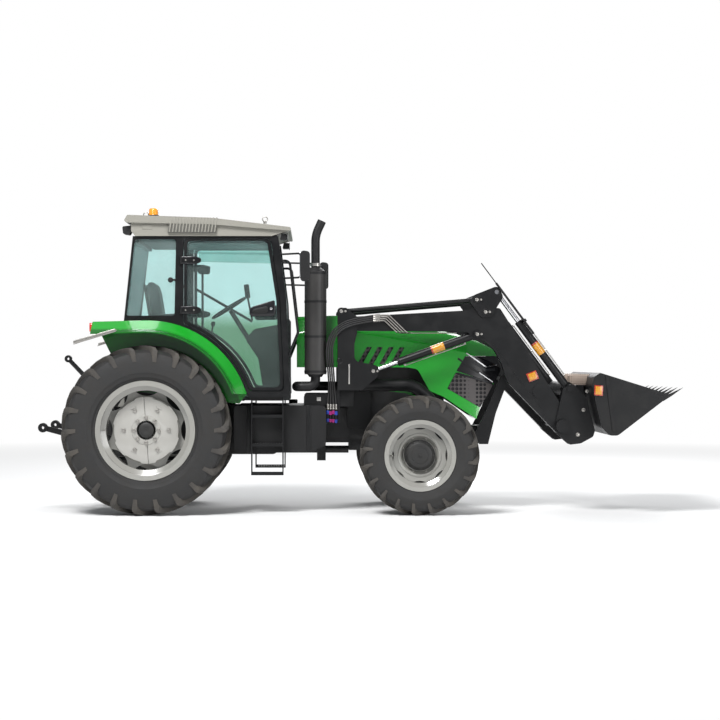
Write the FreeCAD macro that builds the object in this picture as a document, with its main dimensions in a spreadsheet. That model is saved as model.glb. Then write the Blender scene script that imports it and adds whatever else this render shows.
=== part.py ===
import FreeCAD, Part
import math
import os
import re

import Sketcher
from FreeCAD import Placement, Rotation, Vector

# A cab tractor with a front loader.  Millimetres; X forward, Y to the left, Z up.
# The origin is on the ground, under the middle of the machine's length.
# Right-hand pieces lie at negative Y; left-hand ones are their mirror images.

doc = FreeCAD.newDocument("LoaderTractor")
sheet = doc.addObject("Spreadsheet::Sheet", "Sizes")
size_names = set()
sub_parts = []


# ---------------------------------------------------------------- sizes

def sizes(title, **values):
    """Write one group of driving dimensions into the sheet, one alias a row."""
    row = 3 * len(size_names) + 1
    sheet.set("A%d" % row, title)
    for name, value in values.items():
        row += 1
        sheet.set("A%d" % row, name)
        sheet.set("B%d" % row, str(value))
        sheet.setAlias("B%d" % row, name)
        size_names.add(name)
    doc.recompute()


def link(text):
    """The sheet's way of writing an expression made of size names."""
    def full_name(word):
        name = word.group()
        return "Sizes." + name if name in size_names else name
    return re.sub(r"[a-z][a-z_0-9]*", full_name, str(text))


def number(text):
    """The value of an expression made of size names."""
    return float(sheet.evalExpression(link(text)))


# ---------------------------------------------------------------- building blocks

def keep(shape, name):
    """Make an object one of the sub-parts that are written out."""
    shape.Label = name
    sub_parts.append(shape)
    return shape


def new_body(name):
    body = doc.addObject("PartDesign::Body", name)
    body.AllowCompound = True
    return body


def origin_of(body, role):
    for feature in body.Origin.OriginFeatures:
        if feature.Role == role:
            return feature
    raise ValueError(role)


def new_sketch(body, role, shift):
    """An empty sketch on a plane that lies shift along the normal of an origin plane."""
    sketch = body.newObject("Sketcher::SketchObject", "Sketch")
    sketch.AttachmentSupport = [(origin_of(body, role), "")]
    sketch.MapMode = "FlatFace"
    sketch.setExpression("AttachmentOffset.Base.z", link(shift))
    return sketch


def constrain(sketch, constraint, size=None):
    index = sketch.addConstraint(constraint)
    if size is not None:
        sketch.setExpression("Constraints[%d]" % index, link(size))


def pin_point(sketch, geometry, end, at):
    """Fix a point of the sketch by its two distances from the sketch's origin."""
    for kind, size in zip(("DistanceX", "DistanceY"), at):
        pinned = Sketcher.Constraint(kind, -1, 1, geometry, end, number(size))
        constrain(sketch, pinned, size)


def rounded_corner(before, corner, after, radius):
    """Ends, centre and turning sense of the arc that rounds a corner."""
    into = (corner - before).normalize()
    out = (after - corner).normalize()
    turn = into.getAngle(out)
    reach = radius * math.tan(turn / 2)
    start = corner - into * reach
    end = corner + out * reach
    left = into.cross(out).z > 0
    side = Vector(-into.y, into.x, 0) * (1 if left else -1)
    return start, end, start + side * radius, left


def add_outline(sketch, corners):
    """A closed outline.  Each corner is (x, y) or (x, y, rounding radius)."""
    points = [Vector(number(corner[0]), number(corner[1]), 0) for corner in corners]
    count = len(points)
    rounds = {}
    for index, corner in enumerate(corners):
        if len(corner) == 3:
            rounds[index] = rounded_corner(points[index - 1], points[index],
                                           points[(index + 1) % count], number(corner[2]))
    sides = []
    for index in range(count):
        following = (index + 1) % count
        start = rounds[index][1] if index in rounds else points[index]
        end = rounds[following][0] if following in rounds else points[following]
        sides.append(sketch.addGeometry(Part.LineSegment(start, end), False))
    for index, corner in enumerate(corners):
        if index in rounds:
            add_rounding(sketch, rounds[index], corner, points[index],
                         sides[index - 1], sides[index])
        else:
            constrain(sketch, Sketcher.Constraint("Coincident", sides[index - 1], 2,
                                                  sides[index], 1))
            pin_point(sketch, sides[index], 1, corner[:2])
    return sketch


def add_rounding(sketch, rounding, corner, point, side_in, side_out):
    start, end, centre, left = rounding
    first, last = (start, end) if left else (end, start)
    first_angle = math.atan2(first.y - centre.y, first.x - centre.x)
    last_angle = math.atan2(last.y - centre.y, last.x - centre.x)
    circle = Part.Circle(centre, Vector(0, 0, 1), number(corner[2]))
    arc = sketch.addGeometry(Part.ArcOfCircle(circle, first_angle, last_angle), False)
    apex = sketch.addGeometry(Part.Point(point), True)
    arc_start, arc_end = (1, 2) if left else (2, 1)
    constrain(sketch, Sketcher.Constraint("Tangent", side_in, 2, arc, arc_start))
    constrain(sketch, Sketcher.Constraint("Tangent", arc, arc_end, side_out, 1))
    constrain(sketch, Sketcher.Constraint("Radius", arc, number(corner[2])), corner[2])
    pin_point(sketch, apex, 1, corner[:2])
    constrain(sketch, Sketcher.Constraint("PointOnObject", apex, 1, side_in))
    constrain(sketch, Sketcher.Constraint("PointOnObject", apex, 1, side_out))


def add_circle(sketch, x, y, radius):
    centre = Vector(number(x), number(y), 0)
    circle = Part.Circle(centre, Vector(0, 0, 1), number(radius))
    index = sketch.addGeometry(circle, False)
    constrain(sketch, Sketcher.Constraint("Radius", index, number(radius)), radius)
    pin_point(sketch, index, 3, (x, y))
    return sketch


def extrude(body, sketch, length, kind="Pad"):
    """Pad or pocket a sketch half of length to each side of its plane."""
    feature = body.newObject("PartDesign::" + kind, kind)
    feature.Profile = sketch
    feature.SideType = "Symmetric"
    feature.setExpression("Length", link(length))
    sketch.Visibility = False
    body.Tip = feature
    return feature


def side_view(body, y, width, corners, kind="Pad"):
    """Extrude an outline drawn in X and Z, width thick about the plane at y."""
    sketch = add_outline(new_sketch(body, "XZ_Plane", "-(%s)" % y), corners)
    return extrude(body, sketch, width, kind)


def front_view(body, x, depth, corners, kind="Pad"):
    """Extrude an outline drawn in Y and Z, depth thick about the plane at x."""
    sketch = add_outline(new_sketch(body, "YZ_Plane", x), corners)
    return extrude(body, sketch, depth, kind)


def top_view(body, z, height, corners, kind="Pad"):
    """Extrude an outline drawn in X and Y, height thick about the plane at z."""
    sketch = add_outline(new_sketch(body, "XY_Plane", z), corners)
    return extrude(body, sketch, height, kind)


def side_disc(body, y, width, x, z, radius, kind="Pad"):
    """Extrude a circle drawn in X and Z, width thick about the plane at y."""
    sketch = add_circle(new_sketch(body, "XZ_Plane", "-(%s)" % y), x, z, radius)
    return extrude(body, sketch, width, kind)


def turned(body, profile, kind="Revolution"):
    """Revolve a profile of (radius, y) corners round the body's own Y axis."""
    sketch = add_outline(new_sketch(body, "XY_Plane", "0"), profile)
    feature = body.newObject("PartDesign::" + kind, kind)
    feature.Profile = sketch
    feature.ReferenceAxis = (sketch, ["V_Axis"])
    feature.Angle = 360
    sketch.Visibility = False
    body.Tip = feature
    return feature


def both_sides(body, features):
    """Mirror features to the other side of the machine's middle plane."""
    mirror = body.newObject("PartDesign::Mirrored", "Mirror")
    mirror.Originals = features
    mirror.MirrorPlane = (origin_of(body, "XZ_Plane"), [""])
    body.Tip = mirror
    return mirror


def put(shape, x, y, z):
    """Place an object, with its place bound to the sheet."""
    for axis, size in (("x", x), ("y", y), ("z", z)):
        shape.setExpression("Placement.Base." + axis, link(size))
    return shape


def box(name, x_low, y_low, z_low, length, width, height):
    made = doc.addObject("Part::Box", name)
    made.setExpression("Length", link(length))
    made.setExpression("Width", link(width))
    made.setExpression("Height", link(height))
    return put(made, x_low, y_low, z_low)


def rod(name, x, y, z, radius, length, direction=Vector(0, 0, 1)):
    """A round bar from (x, y, z) along a direction."""
    made = doc.addObject("Part::Cylinder", name)
    made.setExpression("Radius", link(radius))
    made.setExpression("Height", link(length))
    made.Placement = Placement(Vector(0, 0, 0), Rotation(Vector(0, 0, 1), direction))
    return put(made, x, y, z)


def cross_pin(name, x, y_middle, z, radius, length):
    """A pin across the machine, length long about y_middle."""
    return rod(name, x, "%s - (%s) / 2" % (y_middle, length), z, radius, length,
               Vector(0, 1, 0))


def fused(name, parts):
    joined = doc.addObject("Part::MultiFuse", name)
    joined.Shapes = parts
    joined.Refine = True
    return joined


def less(name, base, tool):
    made = doc.addObject("Part::Cut", name)
    made.Base = base
    made.Tool = tool
    return made


def common(name, first, second):
    made = doc.addObject("Part::Common", name)
    made.Base = first
    made.Tool = second
    return made


def grouped(parts):
    """Like pieces that do not touch, kept together as one sub-part."""
    group = doc.addObject("Part::Compound", "Group")
    group.Links = parts
    return group


def rounded_path(points, radii):
    """A wire of straight runs joined by tangent arcs."""
    edges = []
    last = points[0]
    for before, corner, after, radius in zip(points, points[1:], points[2:], radii):
        into = (corner - before).normalize()
        out = (after - corner).normalize()
        turn = into.getAngle(out)
        reach = radius * math.tan(turn / 2)
        start = corner - into * reach
        end = corner + out * reach
        to_middle = (out - into).normalize()
        middle = corner + to_middle * (radius / math.cos(turn / 2) - radius)
        if (start - last).Length > 0.01:
            edges.append(Part.LineSegment(last, start).toShape())
        edges.append(Part.Arc(start, middle, end).toShape())
        last = end
    edges.append(Part.LineSegment(last, points[-1]).toShape())
    return Part.Wire(edges)


def own_radii(points):
    """The largest tangent arcs that a cord's runs allow."""
    radii = []
    for before, corner, after in zip(points, points[1:], points[2:]):
        into = corner - before
        out = after - corner
        shorter = min(into.Length, out.Length)
        radii.append(0.45 * shorter / math.tan(into.getAngle(out) / 2))
    return radii


def tube(points, radii, radius, bore=0):
    """A round bar or pipe along a path of straight runs and arcs."""
    path = rounded_path(points, radii)
    direction = points[1] - points[0]
    section = Part.Wire(Part.makeCircle(radius, points[0], direction))
    solid = path.makePipeShell([section], True, False)
    if bore:
        inner = Part.Wire(Part.makeCircle(bore, points[0], direction))
        solid = solid.cut(path.makePipeShell([inner], True, False))
    return solid


def at(x, y, z):
    return Vector(number(x), number(y), number(z))



def as_sub_part(name, shapes):
    """One sub-part from finished shapes that do not touch, or that are one solid."""
    made = doc.addObject("Part::Feature", name)
    made.Shape = shapes[0] if len(shapes) == 1 else Part.makeCompound(shapes)
    return keep(made, name)


# ---------------------------------------------------------------- wheels

sizes("Stance",
      front_axle_x=606, wheelbase=2615, wheel_y=830,
      steer_y=550)

sizes("Rear wheels",
      rear_tyre_radius=812, rear_tyre_width=430, rear_tyre_shoulder=55,
      rear_bead_radius=440, rear_bead_width=330, rear_flange_radius=475,
      rear_rim_wall=14, rear_well_radius=395, rear_well_width=150,
      rear_disc_y=752, rear_disc_thickness=16, rear_disc_dish=46,
      rear_weight_radius=318, rear_weight_thickness=70, rear_hub_radius=72,
      rear_lobe_pitch=500, rear_lobe_radius=172, rear_lobes=8,
      rear_tyre_fit=0.4)

sizes("Front wheels",
      front_tyre_radius=572, front_tyre_width=320, front_tyre_shoulder=45,
      front_bead_radius=312, front_bead_width=250, front_flange_radius=341,
      front_rim_wall=12, front_well_radius=276, front_well_width=110,
      front_disc_y=800, front_disc_thickness=14, front_disc_dish=40,
      front_hub_radius=145, front_hub_length=92,
      front_lobe_pitch=400, front_lobe_radius=154, front_lobes=8,
      front_tyre_fit=0.4)


def tyre(name, end, x, side):
    """A closed tyre, turned about the axle, seated on its rim's bead seats."""
    def size(word):
        return "%s_%s" % (end, word)
    body = new_body(name)
    half = size("tyre_width") + " / 2"
    bead = size("bead_width") + " / 2"
    low = "%s + %s" % (size("bead_radius"), size("tyre_fit"))
    bulge = "(%s + %s) / 2" % (size("bead_radius"), size("tyre_radius"))
    shoulder = "%s - %s" % (size("tyre_radius"), size("tyre_shoulder"))
    crown = size("tyre_radius")
    lip = "%s + 3" % size("flange_radius")
    turned(body, [(low, "-(%s) + 0.4" % bead), (lip, "-(%s) + 0.4" % bead),
                  (bulge, "-(%s)" % half, size("tyre_shoulder")),
                  (shoulder, "-(%s) + 8" % half, 30), (crown, "-(%s) + 38" % half, 20),
                  (crown, "%s - 38" % half, 20), (shoulder, "%s - 8" % half, 30),
                  (bulge, half, size("tyre_shoulder")), (lip, "%s - 0.4" % bead),
                  (low, "%s - 0.4" % bead)])
    put(body, x, side + " * wheel_y", size("tyre_radius"))
    return keep(body, name)


def rim_barrel(body, end):
    """The rolled rim: flanges outside, bead seats, and the drop centre between."""
    def size(word):
        return "%s_%s" % (end, word)
    wall = size("rim_wall")
    flange = size("flange_radius")
    seat = size("bead_radius")
    bead = size("bead_width") + " / 2"
    well = size("well_radius")
    half_well = size("well_width") + " / 2"
    outer = [(flange, "-(%s) - 16" % bead), (flange, "-(%s)" % bead),
             (seat, "-(%s)" % bead), (seat, "-(%s) - 22" % half_well),
             (well, "-(%s)" % half_well), (well, half_well),
             (seat, "%s + 22" % half_well), (seat, bead),
             (flange, bead), (flange, "%s + 16" % bead)]
    inner = [("%s - %s" % (seat, wall), "%s + 16" % bead),
             ("%s - %s" % (seat, wall), "%s + 22 + %s / 2" % (half_well, wall)),
             ("%s - %s" % (well, wall), "%s + %s / 2" % (half_well, wall)),
             ("%s - %s" % (well, wall), "-(%s) - %s / 2" % (half_well, wall)),
             ("%s - %s" % (seat, wall), "-(%s) - 22 - %s / 2" % (half_well, wall)),
             ("%s - %s" % (seat, wall), "-(%s) - 16" % bead)]
    return turned(body, outer + inner)


def lobe_holes(body, end):
    """The ring of hand holes round the disc, as one hole and a polar pattern."""
    sketch = new_sketch(body, "XZ_Plane", "0")
    add_circle(sketch, "%s_lobe_pitch" % end, "0", "%s_lobe_radius" % end)
    hole = extrude(body, sketch, "%s_tyre_width" % end, "Pocket")
    ring = body.newObject("PartDesign::PolarPattern", "LobeRing")
    ring.Originals = [hole]
    ring.Axis = (origin_of(body, "Y_Axis"), [""])
    ring.Angle = 360
    ring.setExpression("Occurrences", link("%s_lobes" % end))
    body.Tip = ring
    return ring


def wheel_disc(body, end, side, hub_reach):
    """The dished disc that joins the rim's well to the hub."""
    def size(word):
        return "%s_%s" % (end, word)
    seat = "%s * (%s - wheel_y)" % (side, size("disc_y"))
    plate = "%s * %s" % (side, size("disc_thickness"))
    dish = "%s * %s" % (side, size("disc_dish"))
    rim_radius = "%s - %s / 2" % (size("well_radius"), size("rim_wall"))
    turned(body, [("0", seat), (hub_reach, seat),
                  ("%s + 30" % hub_reach, "%s + %s" % (seat, dish)),
                  (rim_radius, "%s + %s" % (seat, dish)),
                  (rim_radius, "%s + %s + %s" % (seat, dish, plate)),
                  ("%s + 20" % hub_reach, "%s + %s + %s" % (seat, dish, plate)),
                  ("%s - 10" % hub_reach, "%s + %s" % (seat, plate)),
                  ("0", "%s + %s" % (seat, plate))])


def rear_rim(name, side):
    body = new_body("RearRim")
    wheel_disc(body, "rear", side, "rear_weight_radius - 90")
    doc.recompute()
    lobe_holes(body, "rear")
    rim_barrel(body, "rear")
    put(body, "front_axle_x - wheelbase", side + " * wheel_y", "rear_tyre_radius")
    return keep(fused("RimWithWeights", [body, rear_weights(side)]), name)


def rear_weights(side):
    """Two cast half discs bolted over the wheel disc, round the axle's end."""
    body = new_body("RearWeights")
    face = "%s * (rear_disc_y - wheel_y + rear_disc_dish + rear_disc_thickness)" % side
    top = "%s + %s * rear_weight_thickness" % (face, side)
    turned(body, [("rear_hub_radius + 46", face), ("rear_weight_radius", face),
                  ("rear_weight_radius", "%s - %s * 20" % (top, side)),
                  ("rear_weight_radius - 24", top), ("rear_hub_radius + 46", top)])
    doc.recompute()
    sketch = new_sketch(body, "XZ_Plane", "0")
    add_outline(sketch, [("-4", "-rear_flange_radius"), ("4", "-rear_flange_radius"),
                         ("4", "rear_flange_radius"), ("-4", "rear_flange_radius")])
    extrude(body, sketch, "rear_tyre_width", "Pocket")
    return put(body, "front_axle_x - wheelbase", side + " * wheel_y", "rear_tyre_radius")


def front_rim(name, side):
    body = new_body(name)
    wheel_disc(body, "front", side, "front_hub_radius + 20")
    seat = "%s * (front_disc_y - wheel_y + front_disc_thickness)" % side
    turned(body, [("0", seat), ("front_hub_radius", seat),
                  ("front_hub_radius", "%s + %s * front_hub_length * 0.6" % (seat, side)),
                  ("front_hub_radius - 30", "%s + %s * front_hub_length" % (seat, side)),
                  ("0", "%s + %s * front_hub_length" % (seat, side))])
    doc.recompute()
    lobe_holes(body, "front")
    rim_barrel(body, "front")
    put(body, "front_axle_x", side + " * wheel_y", "front_tyre_radius")
    return keep(body, name)


def build_wheels():
    for word, side in (("right", "-1"), ("left", "1")):
        tyre("rear_tyre_" + word, "rear", "front_axle_x - wheelbase", side)
        rear_rim("rear_rim_" + word, side)
        tyre("front_tyre_" + word, "front", "front_axle_x", side)
        front_rim("front_rim_" + word, side)


# ---------------------------------------------------------------- chassis and axles

sizes("Chassis",
      chassis_half_width=190, chassis_low_z=549, chassis_top_z=1040,
      gearbox_rear_x=-2290, clutch_front_x=-60, bell_half_width=250,
      trumpet_radius=135, trumpet_end_radius=92, trumpet_end_y=600,
      axle_shaft_radius=60, axle_flange_radius=150, axle_flange_gap=0.5,
      engine_front_x=880, engine_half_width=235, engine_low_z=700, engine_top_z=1440,
      bolster_front_x=1290, bolster_half_width=180, bolster_low_z=655, bolster_top_z=830,
      bell_step_x=-790, bell_low_z=665, drive_shaft_z=590, shaft_guard_radius=36,
      hanger_x=-376, hanger_length=88, hanger_low_z=478)

sizes("Front axle and steering",
      axle_beam_height=120, axle_beam_depth=130, diff_radius=165,
      diff_y=0, yoke_half_height=118, yoke_half_depth=60,
      knuckle_radius=66, knuckle_half_height=80, knuckle_gap=5,
      stub_radius=58, stub_flange_radius=112,
      steer_arm_length=200, steer_arm_thickness=24, steer_arm_z=506,
      tie_rod_radius=17, tie_rod_gap=5)


def transmission():
    """Gearbox and rear-axle casing, with the two axle trumpets and shafts."""
    body = new_body("GearboxCasing")
    side_view(body, "0", "2 * chassis_half_width",
              [("gearbox_rear_x", "620", 60), ("gearbox_rear_x + 300", "chassis_low_z", 60),
               ("bell_step_x", "chassis_low_z", 60), ("bell_step_x + 90", "bell_low_z", 60),
               ("clutch_front_x", "bell_low_z"), ("clutch_front_x", "chassis_top_z"),
               ("-1250", "chassis_top_z", 60), ("-1500", "1180", 60),
               ("gearbox_rear_x", "1180", 80)])
    side_view(body, "0", "2 * bell_half_width",
              [("clutch_front_x - 260", "bell_low_z + 60", 40),
               ("clutch_front_x", "bell_low_z + 20"), ("clutch_front_x", "chassis_top_z - 20"),
               ("clutch_front_x - 260", "chassis_top_z - 60", 40)])
    axle = new_body("AxleTrumpets")
    flange_y = "rear_disc_y - axle_flange_gap"
    turned(axle, [("0", "0"), ("trumpet_radius + 90", "0"),
                  ("trumpet_radius + 90", "chassis_half_width + 20"),
                  ("trumpet_radius", "chassis_half_width + 90"),
                  ("trumpet_end_radius", "trumpet_end_y"),
                  ("axle_shaft_radius", "trumpet_end_y"),
                  ("axle_shaft_radius", flange_y + " - 30"),
                  ("axle_flange_radius", flange_y + " - 30"),
                  ("axle_flange_radius", flange_y), ("0", flange_y)])
    half = axle.Tip
    both_sides(axle, [half])
    put(axle, "front_axle_x - wheelbase", "0", "rear_tyre_radius")
    shaft = rod("PowerShaft", "pto_x", "0", "pto_z", "pto_radius",
                "gearbox_rear_x + 20 - pto_x", Vector(1, 0, 0))
    guard = rod("ShaftGuard", "bell_step_x - 60", "0", "drive_shaft_z", "shaft_guard_radius",
                "clutch_front_x - bell_step_x + 60", Vector(1, 0, 0))
    hanger = box("ShaftHanger", "hanger_x", "-40", "hanger_low_z", "hanger_length", "80",
                 "bell_low_z + 20 - hanger_low_z")
    keep(fused("CasingWhole", [body, axle, shaft, guard, hanger]), "transmission")


def engine():
    """The engine, as one plain block under the hood."""
    block = box("EngineBlock", "clutch_front_x", "-engine_half_width", "engine_low_z",
                "engine_front_x - clutch_front_x", "2 * engine_half_width",
                "engine_top_z - engine_low_z")
    keep(block, "engine")


def front_frame():
    """The cast front bolster: two cheeks and a nose plate under the engine."""
    body = new_body("front_frame")
    side_view(body, "0", "2 * bolster_half_width",
              [("clutch_front_x", "chassis_low_z + 40"), ("200", "chassis_low_z + 40", 40),
               ("360", "bolster_low_z", 60), ("bolster_front_x - 60", "bolster_low_z", 40),
               ("bolster_front_x", "bolster_low_z + 60"), ("bolster_front_x", "bolster_top_z"),
               ("engine_front_x", "bolster_top_z"), ("engine_front_x", "engine_low_z"),
               ("clutch_front_x", "engine_low_z")])
    doc.recompute()
    top_view(body, "chassis_low_z", "2 * (engine_low_z - chassis_low_z)",
             [("100", "-bolster_half_width + 50", 20),
              ("340", "-bolster_half_width + 50", 20),
              ("340", "bolster_half_width - 50", 20),
              ("100", "bolster_half_width - 50", 20)], "Pocket")
    keep(body, "front_frame")


def front_axle():
    """The driven front axle: beam, differential and a yoke at each kingpin."""
    body = new_body("AxleBeam")
    half = "axle_beam_height / 2"
    end = "steer_y - yoke_half_depth - 20"
    beam = front_view(body, "front_axle_x", "axle_beam_depth",
                      [("0", "front_tyre_radius - %s" % half),
                       ("-(%s)" % end, "front_tyre_radius - %s + 14" % half),
                       ("-(%s)" % end, "front_tyre_radius + %s - 14" % half),
                       ("0", "front_tyre_radius + %s" % half)])
    fork = "front_tyre_radius + %s"
    low = "front_tyre_radius - %s"
    inside = "knuckle_half_height + knuckle_gap"
    yoke = front_view(body, "front_axle_x", "2 * yoke_half_depth",
                      [("-(%s) + 30" % end, low % "yoke_half_height"),
                       ("-steer_y - yoke_half_depth", low % "yoke_half_height", 30),
                       ("-steer_y - yoke_half_depth", low % ("(%s)" % inside)),
                       ("-steer_y + knuckle_radius + knuckle_gap", low % ("(%s)" % inside)),
                       ("-steer_y + knuckle_radius + knuckle_gap", fork % inside),
                       ("-steer_y - yoke_half_depth", fork % inside),
                       ("-steer_y - yoke_half_depth", fork % "yoke_half_height", 30),
                       ("-(%s) + 30" % end, fork % "yoke_half_height")])
    both_sides(body, [beam, yoke])
    centre = new_body("DiffCasing")
    turned(centre, [("0", "-diff_radius"), ("diff_radius - 60", "-diff_radius", 40),
                    ("diff_radius", "-60", 60), ("diff_radius", "60", 60),
                    ("diff_radius - 60", "diff_radius", 40), ("0", "diff_radius")])
    put(centre, "front_axle_x", "diff_y", "front_tyre_radius")
    trunnion = box("Trunnion", "front_axle_x - 90", "-70", "front_tyre_radius", "180", "140",
                   "bolster_low_z - front_tyre_radius")
    bore = rod("DiffTop", "front_axle_x", "diff_y", "bolster_low_z", "300", "300")
    casing = less("DiffTrimmed", fused("DiffOnPivot", [centre, trunnion]), bore)
    keep(fused("AxleWhole", [body, casing]), "front_axle")


def knuckle(name, side):
    """The hub carrier that steers between the yoke's ears, with its stub and arm."""
    barrel = rod("KnuckleBarrel", "front_axle_x", side + " * steer_y",
                 "front_tyre_radius - knuckle_half_height", "knuckle_radius",
                 "2 * knuckle_half_height")
    face = "front_disc_y - axle_flange_gap"
    stub = new_body("Stub")
    turned(stub, [("0", "steer_y"), ("stub_radius", "steer_y"),
                  ("stub_radius + 14", face + " - 90"), ("stub_flange_radius", face + " - 60"),
                  ("stub_flange_radius", face), ("0", face)])
    put(stub, "front_axle_x", "0", "front_tyre_radius")
    turned_stub = stub
    if side == "-1":
        turned_stub = doc.addObject("Part::Mirroring", "StubRight")
        turned_stub.Source = stub
        turned_stub.Normal = (0, 1, 0)
    arm = new_body("SteerArm")
    top_view(arm, "steer_arm_z", "steer_arm_thickness",
             [("front_axle_x + 20", side + " * (steer_y - 26)"),
              ("front_axle_x + 20", side + " * (steer_y + 30)"),
              ("front_axle_x - steer_arm_length - 26", side + " * (steer_y + 22)", 24),
              ("front_axle_x - steer_arm_length - 26", side + " * (steer_y - 26)", 22)])
    pin = rod("ArmPin", "front_axle_x - steer_arm_length", side + " * steer_y",
              "steer_arm_z", "13", "steer_arm_thickness / 2 + 22")
    keep(fused("KnuckleWhole", [barrel, turned_stub, arm, pin]), name)


def tie_rod():
    """The bar that links the two steering arms behind the axle."""
    z = "steer_arm_z + steer_arm_thickness / 2 + 24 + tie_rod_gap + tie_rod_radius"
    x = "front_axle_x - steer_arm_length"
    bar = cross_pin("TieBar", x, "0", z, "tie_rod_radius", "2 * steer_y")
    low = "%s - tie_rod_radius - 2" % z
    right = rod("TieEyeRight", x, "-steer_y", low, "28", "2 * tie_rod_radius + 4")
    left = rod("TieEyeLeft", x, "steer_y", low, "28", "2 * tie_rod_radius + 4")
    keep(fused("TieRodWhole", [bar, right, left]), "tie_rod")


sizes("Rear linkage",
      drawbar_x=-2700, drawbar_front_x=-1700, drawbar_half_width=45, drawbar_z=500,
      drawbar_thickness=34, drawbar_pin_x=-2650, drawbar_pin_radius=16.5,
      link_pivot_x=-2190, link_pivot_z=600, link_tip_x=-3062, link_tip_z=820,
      link_y=430, link_half_height=38, link_thickness=32,
      link_ball_radius=46, link_bore_radius=14.35, link_ball_width=56,
      top_link_root_x=-2360, top_link_root_z=955, top_link_tip_x=-2871,
      top_link_tip_z=1496, top_link_radius=22, top_link_bore_radius=12.7,
      top_link_ball_radius=36, top_link_width=51,
      pto_x=-2400, pto_z=700, pto_radius=17.4)


def drawbar():
    body = new_body("DrawbarBar")
    top_view(body, "drawbar_z", "drawbar_thickness",
             [("drawbar_x", "-drawbar_half_width", 30), ("drawbar_front_x", "-drawbar_half_width"),
              ("drawbar_front_x", "drawbar_half_width"), ("drawbar_x", "drawbar_half_width", 30)])
    doc.recompute()
    sketch = new_sketch(body, "XY_Plane", "drawbar_z")
    add_circle(sketch, "drawbar_pin_x", "0", "drawbar_pin_radius")
    extrude(body, sketch, "3 * drawbar_thickness", "Pocket")
    hanger = box("DrawbarHanger", "-2230", "-80", "drawbar_z + drawbar_thickness / 2",
                 "110", "160", "chassis_low_z + 60 - drawbar_z")
    trimmed = less("HangerTrimmed", hanger, doc.getObject("GearboxCasing"))
    keep(fused("DrawbarWhole", [body, trimmed]), "drawbar")


def link_bar(name, root, tip, radius):
    return as_solid_between(name, at(*root), at(*tip), number(radius))


def as_solid_between(name, start, end, radius):
    run = end - start
    made = doc.addObject("Part::Feature", name)
    made.Shape = Part.makeCylinder(radius, run.Length, start, run)
    return made


def rear_links():
    """Lower links, top link and their ball ends, as they are carried."""
    parts = []
    for side in ("-1", "1"):
        bar = new_body("LowerLink")
        side_view(bar, "0", "link_thickness",
                  [("link_pivot_x", "link_pivot_z - link_half_height"),
                   ("link_pivot_x", "link_pivot_z + link_half_height"),
                   ("link_tip_x", "link_tip_z + 26"), ("link_tip_x", "link_tip_z - 26")])
        put(bar, "0", side + " * link_y", "0")
        ball = cross_pin("LinkBall", "link_tip_x", side + " * link_y", "link_tip_z",
                         "link_ball_radius", "link_ball_width")
        bore = cross_pin("LinkBore", "link_tip_x", side + " * link_y", "link_tip_z",
                         "link_bore_radius", "2 * link_ball_width")
        root = cross_pin("LinkRoot", "link_pivot_x", side + " * (link_y + chassis_half_width) / 2",
                         "link_pivot_z + 40", "26", "link_y - chassis_half_width + 20")
        end = less("LinkEnd", fused("LinkWhole", [bar, ball, root]), bore)
        parts.append(less("LinkFree", end, doc.getObject("CasingWhole")))
    top = link_bar("TopBar", ("top_link_root_x", "0", "top_link_root_z"),
                   ("top_link_tip_x", "0", "top_link_tip_z"), "top_link_radius")
    ball = cross_pin("TopBall", "top_link_tip_x", "0", "top_link_tip_z",
                     "top_link_ball_radius", "top_link_width")
    foot = box("TopFoot", "gearbox_rear_x - 110", "-35", "top_link_root_z - 60",
               "110", "70", "120")
    bore = cross_pin("TopBore", "top_link_tip_x", "0", "top_link_tip_z",
                     "top_link_bore_radius", "2 * top_link_width")
    parts.append(less("TopLink", fused("TopWhole", [top, ball, foot]), bore))
    keep(grouped(parts), "rear_links")


def build_chassis():
    transmission()
    engine()
    front_frame()
    front_axle()
    knuckle("knuckle_right", "-1")
    knuckle("knuckle_left", "1")
    tie_rod()
    drawbar()
    rear_links()


# ---------------------------------------------------------------- cab

sizes("Cab",
      cab_half_width=760, cab_side=50, cab_floor_z=1127, cab_floor_thickness=36,
      cab_bulkhead_z=1880,
      cab_top_z=2676, cab_front_top_x=-750, cab_front_knee_x=-671, cab_front_knee_z=2061,
      cab_front_low_x=-640, cab_rear_top_x=-2150, cab_rear_low_x=-2236, cab_waist_z=1866,
      cab_rail=60, cab_rail_rear=53, cab_sill=44, corner_post=18,
      door_rear_x=-1657, door_low_z=1190, door_top_z=2645,
      door_post_low=58, door_post_knee=97, door_post_top=28,
      door_gap=6, door_thickness=36, door_stile=30, door_header=16, door_sill=34,
      glass_thickness=7, quarter_low_gap=92, quarter_top_gap=76,
      door_hinge_x=-1690, door_hinge_y=776, hinge_barrel_radius=12, hinge_strap=14,
      hinge_high_z=2443, hinge_low_z=1963)

sizes("Cab roof",
      roof_half_width=805, roof_inset=30, roof_rear_x=-2233, roof_rear_z=2820,
      roof_crest_x=-2200, roof_crest_z=2878, roof_bend_x=-1394, roof_bend_z=2850,
      roof_front_x=-630, roof_front_z=2760, roof_slab=64, roof_slab_front=36,
      skirt_rear_x=-2165, skirt_low_rear_x=-2127, skirt_low_front_x=-815)

sizes("Fenders",
      fender_inner_y=585, fender_shoulder_y=800, fender_outer_y=1000, fender_wall=12,
      arch_x=-2010, arch_z=864, fender_radius=1000, fender_rear_x=-2531, fender_foot_z=1160,
      crown_start=-1.4, crown_end=68, sweep_start=24, sweep_end=66, fender_drop=110,
      cab_seat=1, stay_y=960, stay_width=30, stay_thickness=6, stay_length=380,
      stay_root_x=-2330, stay_root_z=1748, stay_slope=17)


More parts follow.
